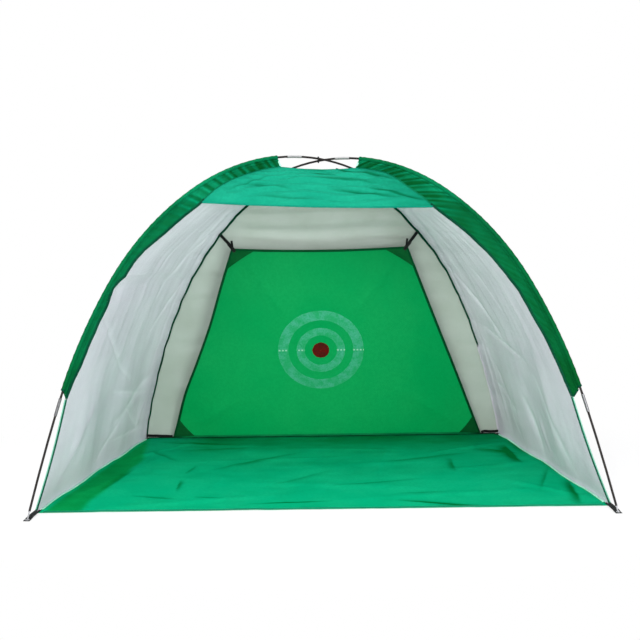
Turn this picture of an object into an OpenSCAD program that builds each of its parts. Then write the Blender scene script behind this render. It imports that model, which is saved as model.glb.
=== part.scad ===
// Golf chipping net: a tent of two crossing poles, green cloth, fine netting and a target cloth.
// Millimetres. X is to the right seen from the open front, Y goes to the back, Z is up.
// The origin is on the ground under the middle of the floor sheet.

/* [Footprint] */
// Width of the floor sheet along its front edge
front_width = 2000; // [1900:10:2100]
// Width of the floor sheet along its back edge
back_width = 1600; // [1520:10:1680]
// Depth of the floor sheet
floor_depth = 1050; // [990:10:1110]
// How far the front feet stand ahead of the floor sheet
foot_ahead = 78; // [60:1:100]
// How far the front feet stand outside the floor sheet
front_foot_out = 5; // [0:1:20]
// How far the back feet stand outside and behind the floor sheet
back_foot_out = 20; // [16:1:30]

/* [Poles] */
// Outer diameter of the pole sections
pole_d = 8; // [6:0.5:9]
// Bore of the pole sections
pole_bore = 3.4; // [2.8:0.2:4]
// Length of an end section, measured from the ground
end_section = 389; // [370:1:410]
// Length of each of the other pole sections
mid_section = 456; // [440:1:470]
// Length of a ferrule
ferrule_length = 62; // [50:1:80]
// Wall of a ferrule
ferrule_wall = 1.1; // [0.8:0.1:1.6]
// Diameter of the steel pin at a pole's end
tip_d = 5; // [4:0.5:6]
// Length of that pin from the pole's end to the ground
tip_length = 25; // [20:1:30]
// Diameter of the shock cord
shock_cord_d = 2.4; // [2:0.2:2.6]

/* [Sleeves and bindings] */
// Greatest width of a front sleeve, from the pole's axis to its inner edge
sleeve_width = 64; // [50:1:75]
// Where a front sleeve begins, along the pole from the ground
sleeve_low = 447; // [435:1:520]
// Where a front sleeve ends, along the pole from the ground
sleeve_high = 1682; // [1640:1:1695]
// Depth of the gathers in a sleeve
gather_depth = 3; // [0:0.5:5]
// Thickness of the cloth solids
cloth = 1.2; // [1:0.1:2]
// Thickness of the net solids
net_thickness = 2; // [1.6:0.1:2.4]
// Diameter of the piping and the edge bindings
piping_d = 5; // [4:0.5:6]
// Distance from a pole's axis to the back seam beside it
seam_offset = 28; // [24:1:34]
// Diameter of the bound back seams
seam_d = 7; // [6:0.5:8]
// Where the nets leave a back seam, along the pole from the back foot
seam_high = 1590; // [1560:5:1610]
// Width of a tie loop
tie_width = 15; // [10:1:20]

/* [Crown] */
// Where the crown's lower hem meets the sleeves, along the pole from the ground
crown_low = 1315; // [1240:5:1360]
// Sag of the crown's free edges at the middle
crown_sag = 8; // [0:1:15]
// Depth of the wrinkles in the crown
crown_wrinkle = 7; // [0:1:10]

/* [Nets] */
// How far the side nets belly outwards
net_belly = 18; // [0:1:30]
// Depth of the folds in the side nets
net_fold = 14; // [0:1:20]
// Share of a net cell that is open
net_open = 0.7; // [0.4:0.05:0.8]

/* [Target] */
// Width of the target along its lower edge
target_low_width = 1380; // [1300:10:1420]
// Width of the target along its upper edge
target_high_width = 730; // [680:10:760]
// Height of the target along its own plane
target_height = 890; // [860:5:910]
// How far the target leans forward, in degrees
target_lean = 15.5; // [14:0.5:17]
// How far the lower edge hangs to the right of the middle
target_shift = 22; // [0:1:30]
// Gap between the target's lower edge and the floor sheet's back edge
target_back_gap = 22; // [18:1:40]
// Height of the target's lower edge
target_rise = 8; // [6:1:12]
// Width of the target's binding
target_binding = 11; // [8:1:15]
// Leg of a corner patch
patch_leg = 84; // [60:2:110]
// Height of the bullseye above the lower edge
bullseye_rise = 422; // [380:2:460]
// Outer diameter of the outer ring
outer_ring_d = 370; // [340:2:400]
// Width of the outer ring
outer_ring_width = 45; // [35:1:50]
// Outer diameter of the inner ring
inner_ring_d = 209; // [190:1:225]
// Width of the inner ring
inner_ring_width = 35; // [25:1:40]
// Diameter of the bullseye
bullseye_d = 73; // [60:1:85]

/* [Webbing] */
// Width of the corner tabs
tab_width = 22; // [18:1:28]
// Width of the target straps
strap_width = 14; // [10:1:16]
// Thickness of the webbing
webbing = 1.5; // [1.2:0.1:2]
// Outer diameter of an eyelet
eyelet_d = 15; // [13:0.5:18]

/* [Hidden] */

left = -1;
right = 1;
gap = 0.3;                       // between pieces that touch in use
cross_gap = 0.6;                 // between the poles where they cross
fine = 360;                      // facets on a large arc
round_fn = 32;                   // facets on small round parts

// ---- the curve of a pole: a springy rod whose bend grows with its height ----
sections_per_half = 4;
half_length = end_section + (sections_per_half - 1) * mid_section;
pole_length = 2 * half_length;
ferrule_half = ferrule_length / 2;

front_foot = [front_width / 2 + front_foot_out, -floor_depth / 2 - foot_ahead];
back_foot = [back_width / 2 + back_foot_out, floor_depth / 2 + back_foot_out];
span = norm([front_foot.x + back_foot.x, back_foot.y - front_foot.y]);
heading = atan2(back_foot.y - front_foot.y, front_foot.x + back_foot.x);

function section_size(i) = i == 0 ? end_section : mid_section;
function section_start(i) = i == 0 ? 0 : end_section + (i - 1) * mid_section;
// state: [distance along the ground line, height, angle from upright]
bend_power = 1.2;
function section_turn(state, size, bend) =
    let (height = state[1] + cos(state[2]) * size / 2)
    bend * pow(height / half_length, bend_power) * size / half_length;
function arc_radius(size, turn) = size / (turn * PI / 180);
function arc_point(state, r, angle) =
    [state[0] + r * (cos(state[2]) - cos(angle)), state[1] + r * (sin(angle) - sin(state[2])), angle];
function next_state(state, size, bend) =
    let (turn = section_turn(state, size, bend))
    arc_point(state, arc_radius(size, turn), state[2] + turn);
function state_after(n, lean, bend) =
    n == 0 ? [0, 0, lean] : next_state(state_after(n - 1, lean, bend), section_size(n - 1), bend);
function top_state(lean, bend) = state_after(sections_per_half, lean, bend);
// the bend that brings the middle of the rod level
function solve_bend(lean, low, high, steps) =
    let (mid = (low + high) / 2)
    steps == 0 ? mid
    : top_state(lean, mid)[2] > 90 ? solve_bend(lean, low, mid, steps - 1)
    : solve_bend(lean, mid, high, steps - 1);
// the lean at the foot that makes the arch as wide as the feet stand apart
function solve_lean(low, high, steps) =
    let (mid = (low + high) / 2)
    steps == 0 ? mid
    : top_state(mid, solve_bend(mid, 0, bend_limit, solver_steps))[0] > span / 2
    ? solve_lean(low, mid, steps - 1)
    : solve_lean(mid, high, steps - 1);
bend_limit = 500;
solver_steps = 26;
least_lean = 1;
most_lean = 50;
foot_lean = solve_lean(least_lean, most_lean, solver_steps);
bend = solve_bend(foot_lean, 0, bend_limit, solver_steps);
states = [for (i = [0 : sections_per_half]) state_after(i, foot_lean, bend)];

function section_of(s) = s < end_section ? 0
    : min(sections_per_half - 1, 1 + floor((s - end_section) / mid_section));
function half_state(s) =
    let (i = section_of(s), r = arc_radius(section_size(i), states[i + 1][2] - states[i][2]))
    arc_point(states[i], r, states[i][2] + (s - section_start(i)) / r * 180 / PI);
// the whole pole, s from its front foot to its back foot
function pole_state(s) = s <= half_length ? half_state(s)
    : let (p = half_state(pole_length - s)) [span - p[0], p[1], 180 - p[2]];

// the left pole passes over the right one, on longer end pins
function lift(side) = side == left ? pole_d + cross_gap : 0;
function foot_x(side) = side * front_foot.x;
function turn_of(side) = side == left ? heading : 180 - heading;
// a point in a pole's own upright plane, carried to its place
function in_place(side, along, height, aside = 0) =
    [foot_x(side) + along * cos(turn_of(side)) - aside * sin(turn_of(side)),
     front_foot.y + along * sin(turn_of(side)) + aside * cos(turn_of(side)),
     height + lift(side)];
// a point beside the pole: inward in its plane, and aside from it
function beside(side, s, inward, aside = 0) =
    let (p = pole_state(s))
    in_place(side, p[0] + inward * cos(p[2]), p[1] - inward * sin(p[2]), aside);

// ---- small vector helpers ----
function unit(v) = v / norm(v);
function mix(a, b, t) = a + (b - a) * t;
// a point set off from a line through p, square to the line and toward another point
function set_off(p, line, other_point, distance) =
    let (v = other_point - p)
    p + unit(v - line * (v * line)) * distance;

// ---- solids made from rings of points ----
// quads between rings of n points, as triangles
function skin(rows, n) = [
    for (i = [0 : rows - 2], j = [0 : n - 1])
        let (a = i * n + j, b = i * n + (j + 1) % n, c = a + n, d = b + n)
        each [[a, c, b], [b, c, d]]
];
// caps over a ring that is a folded strip: n / 2 points out, n / 2 points back
function strip_cap(first, n) = [
    for (j = [0 : n / 2 - 2])
        let (a = first + j, b = first + j + 1, c = first + n - 2 - j, d = first + n - 1 - j)
        each [[a, b, c], [a, c, d]]
];
function flipped(faces) = [for (f = faces) [f[0], f[2], f[1]]];
module ring_solid(rings, inside_out = false) {
    rows = len(rings);
    n = len(rings[0]);
    faces = concat(skin(rows, n), strip_cap(0, n), flipped(strip_cap((rows - 1) * n, n)));
    polyhedron([for (r = rings) each r], inside_out ? flipped(faces) : faces);
}
// a six sided cord ring beside a pole
cord_sides = 6;
function cord_ring(side, s, inward, d) = [
    for (k = [0 : cord_sides - 1])
        let (a = (k + 0.5) * 360 / cord_sides)
        beside(side, s, inward + d / 2 * cos(a), d / 2 * sin(a))
];
module cord_beside(side, low, high, inward, d, rows) {
    rings = [for (i = [0 : rows]) cord_ring(side, mix(low, high, i / rows), inward, d)];
    ring_solid(rings, side == left);
}

// a sheet with an open hole in each cell; points is a grid of rows
function grid_normal(points, i, j) =
    let (a = points[max(i - 1, 0)][j], b = points[min(i + 1, len(points) - 1)][j])
    let (c = points[i][max(j - 1, 0)], d = points[i][min(j + 1, len(points[0]) - 1)])
    unit(cross(b - a, d - c));
function flat_index(i, j, columns) = i * (columns + 1) + j;
module pierced_sheet(points, thickness, open) {
    rows = len(points) - 1;
    columns = len(points[0]) - 1;
    corners = (rows + 1) * (columns + 1);
    holes = rows * columns * 4;
    normals = [for (i = [0 : rows]) [for (j = [0 : columns]) grid_normal(points, i, j)]];
    cell_corners = [[0, 0], [0, 1], [1, 1], [1, 0]];
    function layer(d) = [
        for (i = [0 : rows], j = [0 : columns]) points[i][j] + normals[i][j] * d,
        for (i = [0 : rows - 1], j = [0 : columns - 1])
            let (quad = [for (c = cell_corners)
                points[i + c[0]][j + c[1]] + normals[i + c[0]][j + c[1]] * d])
            let (middle = (quad[0] + quad[1] + quad[2] + quad[3]) / 4)
            for (q = quad) mix(middle, q, open)
    ];
    size = corners + holes;
    function ring_faces(base) = [
        for (i = [0 : rows - 1], j = [0 : columns - 1], k = [0 : 3])
            let (m = (k + 1) % 4)
            let (a = base + flat_index(i + cell_corners[k][0], j + cell_corners[k][1], columns))
            let (b = base + flat_index(i + cell_corners[m][0], j + cell_corners[m][1], columns))
            let (h = base + corners + (i * columns + j) * 4)
            each [[a, b, h + m], [a, h + m, h + k]]
    ];
    hole_walls = [
        for (c = [0 : rows * columns - 1], k = [0 : 3])
            let (m = (k + 1) % 4, h = corners + c * 4)
            each [[h + k, h + m, h + size + m], [h + k, h + size + m, h + size + k]]
    ];
    edge = concat(
        [for (j = [0 : columns - 1]) flat_index(0, j, columns)],
        [for (i = [0 : rows - 1]) flat_index(i, columns, columns)],
        [for (j = [columns : -1 : 1]) flat_index(rows, j, columns)],
        [for (i = [rows : -1 : 1]) flat_index(i, 0, columns)]
    );
    edge_walls = [
        for (k = [0 : len(edge) - 1])
            let (a = edge[k], b = edge[(k + 1) % len(edge)])
            each [[a, a + size, b + size], [a, b + size, b]]
    ];
    polyhedron(
        concat(layer(thickness / 2), layer(-thickness / 2)),
        concat(ring_faces(0), flipped(ring_faces(size)), hole_walls, edge_walls));
}
// the same grid as a closed sheet
module closed_sheet(points, thickness) {
    rows = len(points) - 1;
    columns = len(points[0]) - 1;
    size = (rows + 1) * (columns + 1);
    function layer(d) = [
        for (i = [0 : rows], j = [0 : columns]) points[i][j] + grid_normal(points, i, j) * d
    ];
    function cells(base) = [
        for (i = [0 : rows - 1], j = [0 : columns - 1])
            let (a = base + flat_index(i, j, columns), b = a + 1)
            let (c = base + flat_index(i + 1, j, columns), d = c + 1)
            each [[a, b, d], [a, d, c]]
    ];
    edge = concat(
        [for (j = [0 : columns - 1]) flat_index(0, j, columns)],
        [for (i = [0 : rows - 1]) flat_index(i, columns, columns)],
        [for (j = [columns : -1 : 1]) flat_index(rows, j, columns)],
        [for (i = [rows : -1 : 1]) flat_index(i, 0, columns)]
    );
    edge_walls = [
        for (k = [0 : len(edge) - 1])
            let (a = edge[k], b = edge[(k + 1) % len(edge)])
            each [[a, a + size, b + size], [a, b + size, b]]
    ];
    polyhedron(
        concat(layer(thickness / 2), layer(-thickness / 2)),
        concat(cells(0), flipped(cells(size)), edge_walls));
}

// ---- poles ----
module pole_frame(side) {
    translate([foot_x(side), front_foot.y, lift(side)])
        rotate([0, 0, turn_of(side)])
            children();
}
module tube_profile(d, bore) {
    difference() {
        circle(d = d, $fn = round_fn);
        if (bore > 0) circle(d = bore, $fn = round_fn);
    }
}
// a stretch of tube between two angles, bent to radius r, through a state of the pole
module bent_tube(state, r, from, to, d, bore) {
    translate([state[0] + r * cos(state[2]), 0, state[1] - r * sin(state[2])])
        rotate([0, to - 180, 0])
            rotate([90, 0, 0])
                rotate_extrude(angle = to - from, $fn = fine)
                    translate([r, 0])
                        tube_profile(d, bore);
}
module both_halves() {
    children();
    translate([span, 0, 0])
        mirror([1, 0, 0])
            children();
}
section_gap = 0.5;
// section i of one half, cut back a little at its lower and upper ends
module half_section(i, low_cut, high_cut) {
    r = arc_radius(section_size(i), states[i + 1][2] - states[i][2]);
    bent_tube(states[i], r, states[i][2] + low_cut / r * 180 / PI,
        states[i + 1][2] - high_cut / r * 180 / PI, pole_d, pole_bore);
}
module pole_sections(side) {
    color([0.09, 0.09, 0.1])
        pole_frame(side)
            both_halves()
                for (i = [0 : sections_per_half - 1])
                    half_section(i, section_gap / 2 + (i == 0 ? tip_length : 0), section_gap / 2);
}
// a ferrule bows with the pole, half way between the two sections it joins
ferrule_fit = 0.15;
ferrule_bore = pole_d + 2 * ferrule_fit;
ferrule_d = ferrule_bore + 2 * ferrule_wall;
function section_radius(i) =
    arc_radius(section_size(i), states[i + 1][2] - states[i][2]);
function joint_radius(i) =
    i == sections_per_half ? section_radius(i - 1)
    : 2 / (1 / section_radius(i - 1) + 1 / section_radius(i));
module ferrule(i) {
    r = joint_radius(i);
    half_turn = ferrule_half / r * 180 / PI;
    bent_tube(states[i], r, states[i][2] - half_turn, states[i][2] + half_turn,
        ferrule_d, ferrule_bore);
}
module pole_ferrules(side) {
    color([0.78, 0.79, 0.8])
        pole_frame(side) {
            both_halves()
                for (i = [1 : sections_per_half - 1])
                    ferrule(i);
            ferrule(sections_per_half);
        }
}
tip_collar = 3;
tip_shank = 14;
tip_fit = 0.1;
tip_chamfer = 1;
// pin with a collar that stops the pole's end; its chamfered end stands on the ground
module tip(side) {
    end_r = tip_d / 2 - tip_chamfer;
    low = end_r * tan(foot_lean) - lift(side) / cos(foot_lean);
    shank_r = pole_bore / 2 - tip_fit;
    color([0.8, 0.8, 0.8])
        rotate([0, foot_lean, 0])
            rotate_extrude($fn = round_fn)
                polygon([[0, low], [end_r, low], [tip_d / 2, low + tip_chamfer],
                    [tip_d / 2, tip_length - tip_collar],
                    [pole_d / 2, tip_length - tip_collar], [pole_d / 2, tip_length],
                    [shank_r, tip_length], [shank_r, tip_length + tip_shank],
                    [0, tip_length + tip_shank]]);
}
module pole_tips(side) {
    pole_frame(side)
        both_halves()
            tip(side);
}
cord_rows = 72;
module shock_cord(side) {
    cord_end = tip_length + tip_shank + gap;
    color([0.85, 0.85, 0.8])
        cord_beside(side, cord_end, pole_length - cord_end, 0, shock_cord_d, cord_rows);
}

// ---- front sleeves ----
channel_ease = 0.9;
return_width = 9;
channel_r = ferrule_d / 2 + channel_ease;
hem_return = channel_r + return_width;
fold_half = 0.2;
wrap_steps = 8;
sleeve_rows = 26;
// a sleeve widens to where the crown begins, and tapers along the crown
sleeve_shape = [[0, 0.5], [0.15, 0.6], [0.3, 0.71], [0.45, 0.8], [0.57, 0.91],
    [0.65, 0.98], [0.7, 0.96], [0.78, 0.78], [0.88, 0.61], [1, 0.54]];
function sleeve_in(s) =
    sleeve_width * lookup((s - sleeve_low) / (sleeve_high - sleeve_low), sleeve_shape);
function piping_in(s) = sleeve_in(s) + gap + piping_d / 2;
function piping_point(side, s) = beside(side, s, piping_in(s));
function piping_line(side, s) = unit(piping_point(side, s + 1) - piping_point(side, s - 1));
// how far inward the piping comes within half a row of a sheet sewn to it
function piping_reach(s, row) = max([for (k = [-0.5 : 0.25 : 0.5]) piping_in(s + k * row)]);
// the sleeve's section: a strip folded round the pole, its return stitched to the band
function wrap_point(r, level, k) =
    let (first = asin(level / r), a = mix(first, 360 - first, k / wrap_steps))
    [r * cos(a), r * sin(a)];
function sleeve_loop(width, ripple) = concat(
    [[width, fold_half + cloth + ripple]],
    [for (k = [0 : wrap_steps]) wrap_point(channel_r + cloth, fold_half + cloth, k)],
    [[hem_return, -fold_half - cloth]],
    [[hem_return, -fold_half]],
    [for (k = [wrap_steps : -1 : 0]) wrap_point(channel_r, fold_half, k)],
    [[width, fold_half + ripple]]);
// gathers run along the pole as a short wave whose depth follows a long one
gather_pitch = 171;
gather_drift = 973;
gather_phase = 40;
function gather(s) =
    gather_depth * sin(360 * s / gather_pitch) * sin(360 * s / gather_drift + gather_phase);
module sleeve(side) {
    rings = [
        for (i = [0 : sleeve_rows])
            let (s = mix(sleeve_low, sleeve_high, i / sleeve_rows))
            [for (q = sleeve_loop(sleeve_in(s), gather(s))) beside(side, s, q[0], -side * q[1])]
    ];
    color([0, 0.48, 0.26])
        ring_solid(rings, side == right);
}
module sleeve_piping(side) {
    rings = [
        for (i = [0 : sleeve_rows])
            let (s = mix(sleeve_low, sleeve_high, i / sleeve_rows))
            cord_ring(side, s, piping_in(s), piping_d)
    ];
    color([0, 0.3, 0.18])
        ring_solid(rings, side == left);
}

// ---- back seams and the loops that tie them to the poles ----
seam_start = 16;
seam_short = 8;                  // the seam ends this much before the net turns over the top
seam_rows = 40;
// a back seam lies beside the pole that comes from the other side
function other(side) = -side;
function back_beside(side, s, inward, aside = 0) =
    beside(other(side), pole_length - s, inward, aside);
module back_seam(side) {
    color([0, 0.3, 0.18])
        cord_beside(other(side), pole_length - seam_high + seam_short,
            pole_length - seam_start, seam_offset, seam_d, seam_rows);
}
tie_count = 6;
tie_first = 200;
tie_step = 245;
tie_ring_r = ferrule_d / 2 + gap;
module tie_loop(s) {
    p = pole_state(pole_length - s);
    reach = seam_offset - seam_d / 2 * cos(180 / cord_sides) - gap / 2;
    translate([p[0], 0, p[1]])
        rotate([0, p[2], 0])
            translate([0, 0, -tie_width / 2])
                linear_extrude(tie_width)
                    difference() {
                        union() {
                            circle(r = tie_ring_r + webbing, $fn = round_fn);
                            translate([0, -webbing / 2])
                                square([reach, webbing]);
                        }
                        circle(r = tie_ring_r, $fn = round_fn);
                    }
}
module tie_loops(side) {
    color([0.05, 0.22, 0.14])
        pole_frame(other(side))
            for (i = [0 : tie_count - 1])
                tie_loop(tie_first + i * tie_step);
}

// ---- floor sheet and its edges ----
floor_t = 1.5;
function floor_corner(side, row) = row == "front"
    ? [side * front_width / 2, -floor_depth / 2]
    : [side * back_width / 2, floor_depth / 2];
module floor_sheet() {
    color([0.05, 0.65, 0.42])
        linear_extrude(floor_t)
            polygon([floor_corner(left, "front"), floor_corner(right, "front"),
                floor_corner(right, "back"), floor_corner(left, "back")]);
}
hem_width = 18;
hem_end = 60;
module floor_front_hem() {
    color([0, 0.42, 0.25])
        translate([-front_width / 2 + hem_end, -floor_depth / 2, floor_t])
            cube([front_width - 2 * hem_end, hem_width, cloth]);
}
edge_d = piping_d;
edge_end = 34;
edge_out = edge_d / 2 + gap;
// a round edge laid just outside the sheet between two corners
module floor_edge(from, to) {
    along = unit(to - from);
    out = [along.y, -along.x];
    a = from + along * edge_end + out * edge_out;
    translate([a.x, a.y, edge_d / 2])
        rotate([0, 90, atan2(along.y, along.x)])
            cylinder(h = norm(to - from) - 2 * edge_end, d = edge_d, $fn = round_fn);
}
module floor_edge_side(side) {
    front = floor_corner(side, "front");
    back = floor_corner(side, "back");
    color([0.85, 0.9, 0.9])
        if (side == left) floor_edge(back, front); else floor_edge(front, back);
}
module floor_edge_back() {
    color([0, 0.25, 0.15])
        floor_edge(floor_corner(right, "back"), floor_corner(left, "back"));
}

// ---- netting ----
edge_clear = piping_d / 2 + gap;
seam_clear = seam_d / 2 + gap;
net_foot = edge_d + gap + net_thickness / 2;
function along_edge(side, t) =
    let (p = mix(floor_corner(side, "front"), floor_corner(side, "back"), t))
    [p.x + side * edge_out, p.y, net_foot];
// front edge of a side net: up the binding, then along the sleeve's piping
binding_foot_in = 10;
binding_foot_aside = 3;
binding_foot = net_foot + 2;
function binding_low(side) = [side * (front_width / 2 + edge_out - binding_foot_aside),
    -floor_depth / 2 + binding_foot_in, binding_foot];
binding_top_gap = 1;
function binding_high(side) = beside(side, sleeve_low - binding_top_gap, piping_in(sleeve_low));
binding_length = norm(binding_high(right) - binding_low(right));
front_edge_length = binding_length + sleeve_high - sleeve_low;
net_columns = 8;
net_rows = 10;
function front_edge(side, t) =
    let (d = t * front_edge_length, s = sleeve_low + d - binding_length)
    d <= binding_length ? mix(binding_low(side), binding_high(side), d / binding_length)
    : beside(side, s, piping_reach(s, front_edge_length / net_rows));
edge_step = 0.001;
function front_line(side, t) =
    unit(front_edge(side, t + edge_step) - front_edge(side, t - edge_step));
net_foot_up = 4;
seam_foot = seam_start + net_foot_up;
function back_edge(side, t) = back_beside(side, mix(seam_foot, seam_high, t), seam_offset);
function back_line(side, t) =
    unit(back_edge(side, t + edge_step) - back_edge(side, t - edge_step));
function ease(t) = sin(180 * t);
// outward swell and folds of a side net, h from front to back, t from floor to top
folds_across = 2.5;
fold_slant = 140;
fold_rise = 3;
fold_start = 0.1;
function fold_share(t) = (1 - t) * ease(min(1, t * fold_rise + fold_start));
function side_swell(h, t) =
    ease(h) * (net_belly * ease(t)
        + net_fold * fold_share(t) * sin(360 * folds_across * h + fold_slant * t));
function side_net_point(side, h, t) =
    let (a = front_edge(side, t), b = back_edge(side, t))
    let (c = set_off(a, front_line(side, t), b, edge_clear))
    let (d = set_off(b, back_line(side, t), a, seam_clear))
    let (flat = mix(c, d, h), out = unit(cross(b - a, [0, 0, 1]) * side))
    flat + out * side_swell(h, t);
net_low = 0.004;
net_high = 0.995;
module side_net(side) {
    points = [
        for (i = [0 : net_rows]) [
            for (j = [0 : net_columns])
                side_net_point(side, (side == left ? j : net_columns - j) / net_columns,
                    mix(net_low, net_high, i / net_rows))
        ]
    ];
    color([0.82, 0.86, 0.88])
        pierced_sheet(points, net_thickness, net_open);
}
// the back net runs from seam to seam, and over the top to the crown
roof_rows = 2;
back_rows = 10;
back_columns = 8;
back_belly = 6;
crown_edge_back = 2.5;
roof_clear = 4;
function roof_corner(side) =
    beside(side, sleeve_high, piping_in(sleeve_high) + edge_clear)
    + [-side * roof_clear, crown_edge_back, -crown_edge_back];
function back_side_edge(side, i) =
    let (t = min(1, i / back_rows), p = back_edge(side, t))
    let (edge = set_off(p, back_line(side, t), back_edge(-side, t), seam_clear))
    i <= back_rows ? edge
    : mix(edge - [side * roof_clear, 0, 0], roof_corner(side), (i - back_rows) / roof_rows);
function back_net_point(h, i) =
    mix(back_side_edge(left, i), back_side_edge(right, i), h)
    + [0, back_belly * ease(h) * ease(min(1, i / back_rows)), 0];
module back_net() {
    points = [
        for (i = [0 : back_rows + roof_rows])
            [for (j = [0 : back_columns]) back_net_point(j / back_columns, i)]
    ];
    color([0.78, 0.82, 0.82])
        pierced_sheet(points, net_thickness, net_open);
}
// ---- the tie that holds the poles together where they cross ----
crossing_tie_w = 10;
crossing_fit = 0.4;
crossing_along = foot_x(right) / cos(heading);
function solve_crossing(low, high, steps) =
    let (mid = (low + high) / 2, p = pole_state(mid))
    steps == 0 ? p
    : p[0] > crossing_along ? solve_crossing(low, mid, steps - 1)
    : solve_crossing(mid, high, steps - 1);
crossing_state = solve_crossing(half_length, pole_length, solver_steps);
crossing_slope = crossing_state[2] - 90;
crossing_z = crossing_state[1] + lift(left) / 2;
crossing_y = front_foot.y + crossing_along * sin(heading);
// how far a pole's axis strays from the tie's middle within the width of the tie
crossing_stray = norm([crossing_tie_w / 2 * tan(heading),
    lift(left) / 2 + crossing_tie_w / 2 * tan(crossing_slope)]);
crossing_r = crossing_stray + pole_d / 2 / cos(heading) + crossing_fit;
module crossing_tie() {
    color([0.05, 0.05, 0.05])
        translate([-crossing_tie_w / 2, crossing_y, crossing_z])
            rotate([90, 0, 90])
                linear_extrude(crossing_tie_w)
                    difference() {
                        circle(r = crossing_r + webbing, $fn = round_fn);
                        circle(r = crossing_r, $fn = round_fn);
                    }
}
module front_binding(side) {
    a = binding_low(side);
    b = binding_high(side);
    v = b - a;
    color([0, 0.3, 0.18])
        translate(a)
            rotate([0, acos(v.z / norm(v)), atan2(v.y, v.x)])
                cylinder(h = norm(v), d = piping_d, $fn = round_fn);
}

// ---- crown ----
crown_rows = 10;
crown_columns = 20;
crown_out = unit([0, -1, 1]);
crown_waves = 2;
crown_drift = 60;
crown_turns = 200;
crown_row = (sleeve_high - crown_low) / crown_rows;
function crown_side(side, t) =
    let (s = mix(crown_low, sleeve_high, t), p = beside(side, s, piping_reach(s, crown_row)))
    set_off(p, piping_line(side, s), [-p.x, p.y, p.z], edge_clear);
function crown_point(h, t) =
    let (flat = mix(crown_side(left, t), crown_side(right, t), h))
    let (wave = sin(360 * crown_waves * t + crown_drift * sin(crown_turns * h)))
    flat - [0, 0, crown_sag * ease(h) * ease(abs(2 * t - 1) / 2)]
    + crown_out * crown_wrinkle / 2 * ease(h) * ease(t) * wave;
module crown() {
    points = [
        for (i = [0 : crown_rows])
            [for (j = [0 : crown_columns]) crown_point(j / crown_columns, i / crown_rows)]
    ];
    color([0.12, 0.72, 0.55])
        closed_sheet(points, cloth);
}
// the crown's lower hem: a cord in the fold
hem_d = 4;
hem_rows = 16;
hem_inset = 0.01;
function hem_point(h) =
    crown_point(h, 0) - [0, 0, cloth / 2 + gap + hem_d / 2];
module crown_hem() {
    rings = [
        for (i = [0 : hem_rows])
            let (p = hem_point(mix(hem_inset, 1 - hem_inset, i / hem_rows)))
            [for (k = [0 : cord_sides - 1])
                let (a = (k + 0.5) * 360 / cord_sides)
                p + [0, hem_d / 2 * cos(a), hem_d / 2 * sin(a)]]
    ];
    color([0, 0.35, 0.22])
        ring_solid(rings, true);
}

// ---- corner tabs and eyelets ----
tab_overlap = 26;
tab_beyond = 11;
pin_room = 0.9;
barrel_wall = 1.2;
barrel_fit = 0.1;
eyelet_bore_d = tip_d + 2 * pin_room;
eyelet_barrel_d = eyelet_bore_d + 2 * barrel_wall;
flange = 0.7;
tab_low = floor_t;
eyelet_middle = tab_low + webbing / 2;
// where a pole's pin passes through its tab
function pin_at(side, row) =
    let (s = (eyelet_middle - lift(side)) / cos(foot_lean))
    let (p = [s * sin(foot_lean), 0])
    row == "front" ? in_place(side, p[0], 0) : in_place(side, span - p[0], 0);
function tab_pin(side, row) = pin_at(row == "front" ? side : other(side), row);
module corner_tab(side, row) {
    pin = tab_pin(side, row);
    corner = floor_corner(side, row);
    reach = norm([pin.x - corner.x, pin.y - corner.y]);
    color([0.08, 0.08, 0.08])
        translate([corner.x, corner.y, tab_low])
            rotate([0, 0, atan2(pin.y - corner.y, pin.x - corner.x)])
                linear_extrude(webbing)
                    difference() {
                        translate([-tab_overlap, -tab_width / 2])
                            square([tab_overlap + reach + tab_beyond, tab_width]);
                        translate([reach, 0])
                            circle(d = eyelet_barrel_d + 2 * barrel_fit, $fn = round_fn);
                    }
}
module eyelet() {
    difference() {
        union() {
            translate([0, 0, -flange])
                cylinder(h = flange, d = eyelet_d, $fn = round_fn);
            cylinder(h = webbing, d = eyelet_barrel_d, $fn = round_fn);
            translate([0, 0, webbing])
                cylinder(h = flange, d = eyelet_d, $fn = round_fn);
        }
        translate([0, 0, -flange - 1])
            cylinder(h = webbing + 2 * flange + 2, d = eyelet_bore_d, $fn = round_fn);
    }
}
module corner_eyelets() {
    color([0.75, 0.76, 0.78])
        for (side = [left, right], row = ["front", "back"]) {
            pin = tab_pin(side, row);
            translate([pin.x, pin.y, tab_low])
                eyelet();
        }
}

// ---- target ----
target_y = floor_depth / 2 - target_back_gap;
target_t = cloth;
module target_frame() {
    translate([0, target_y, target_rise])
        rotate([target_lean, 0, 0])
            rotate([90, 0, 0])
                children();
}
// a point in the target's plane, carried to its place
function on_target(x, height, out = 0) =
    [x, target_y - height * sin(target_lean) - out * cos(target_lean),
     target_rise + height * cos(target_lean) - out * sin(target_lean)];
function target_half(t) = mix(target_low_width, target_high_width, t) / 2;
function target_middle(t) = target_shift * (1 - t);
// upward direction of a side edge in the target's plane
function side_edge(side) =
    unit([side * (target_high_width - target_low_width) / 2 - target_shift, target_height]);
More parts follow.
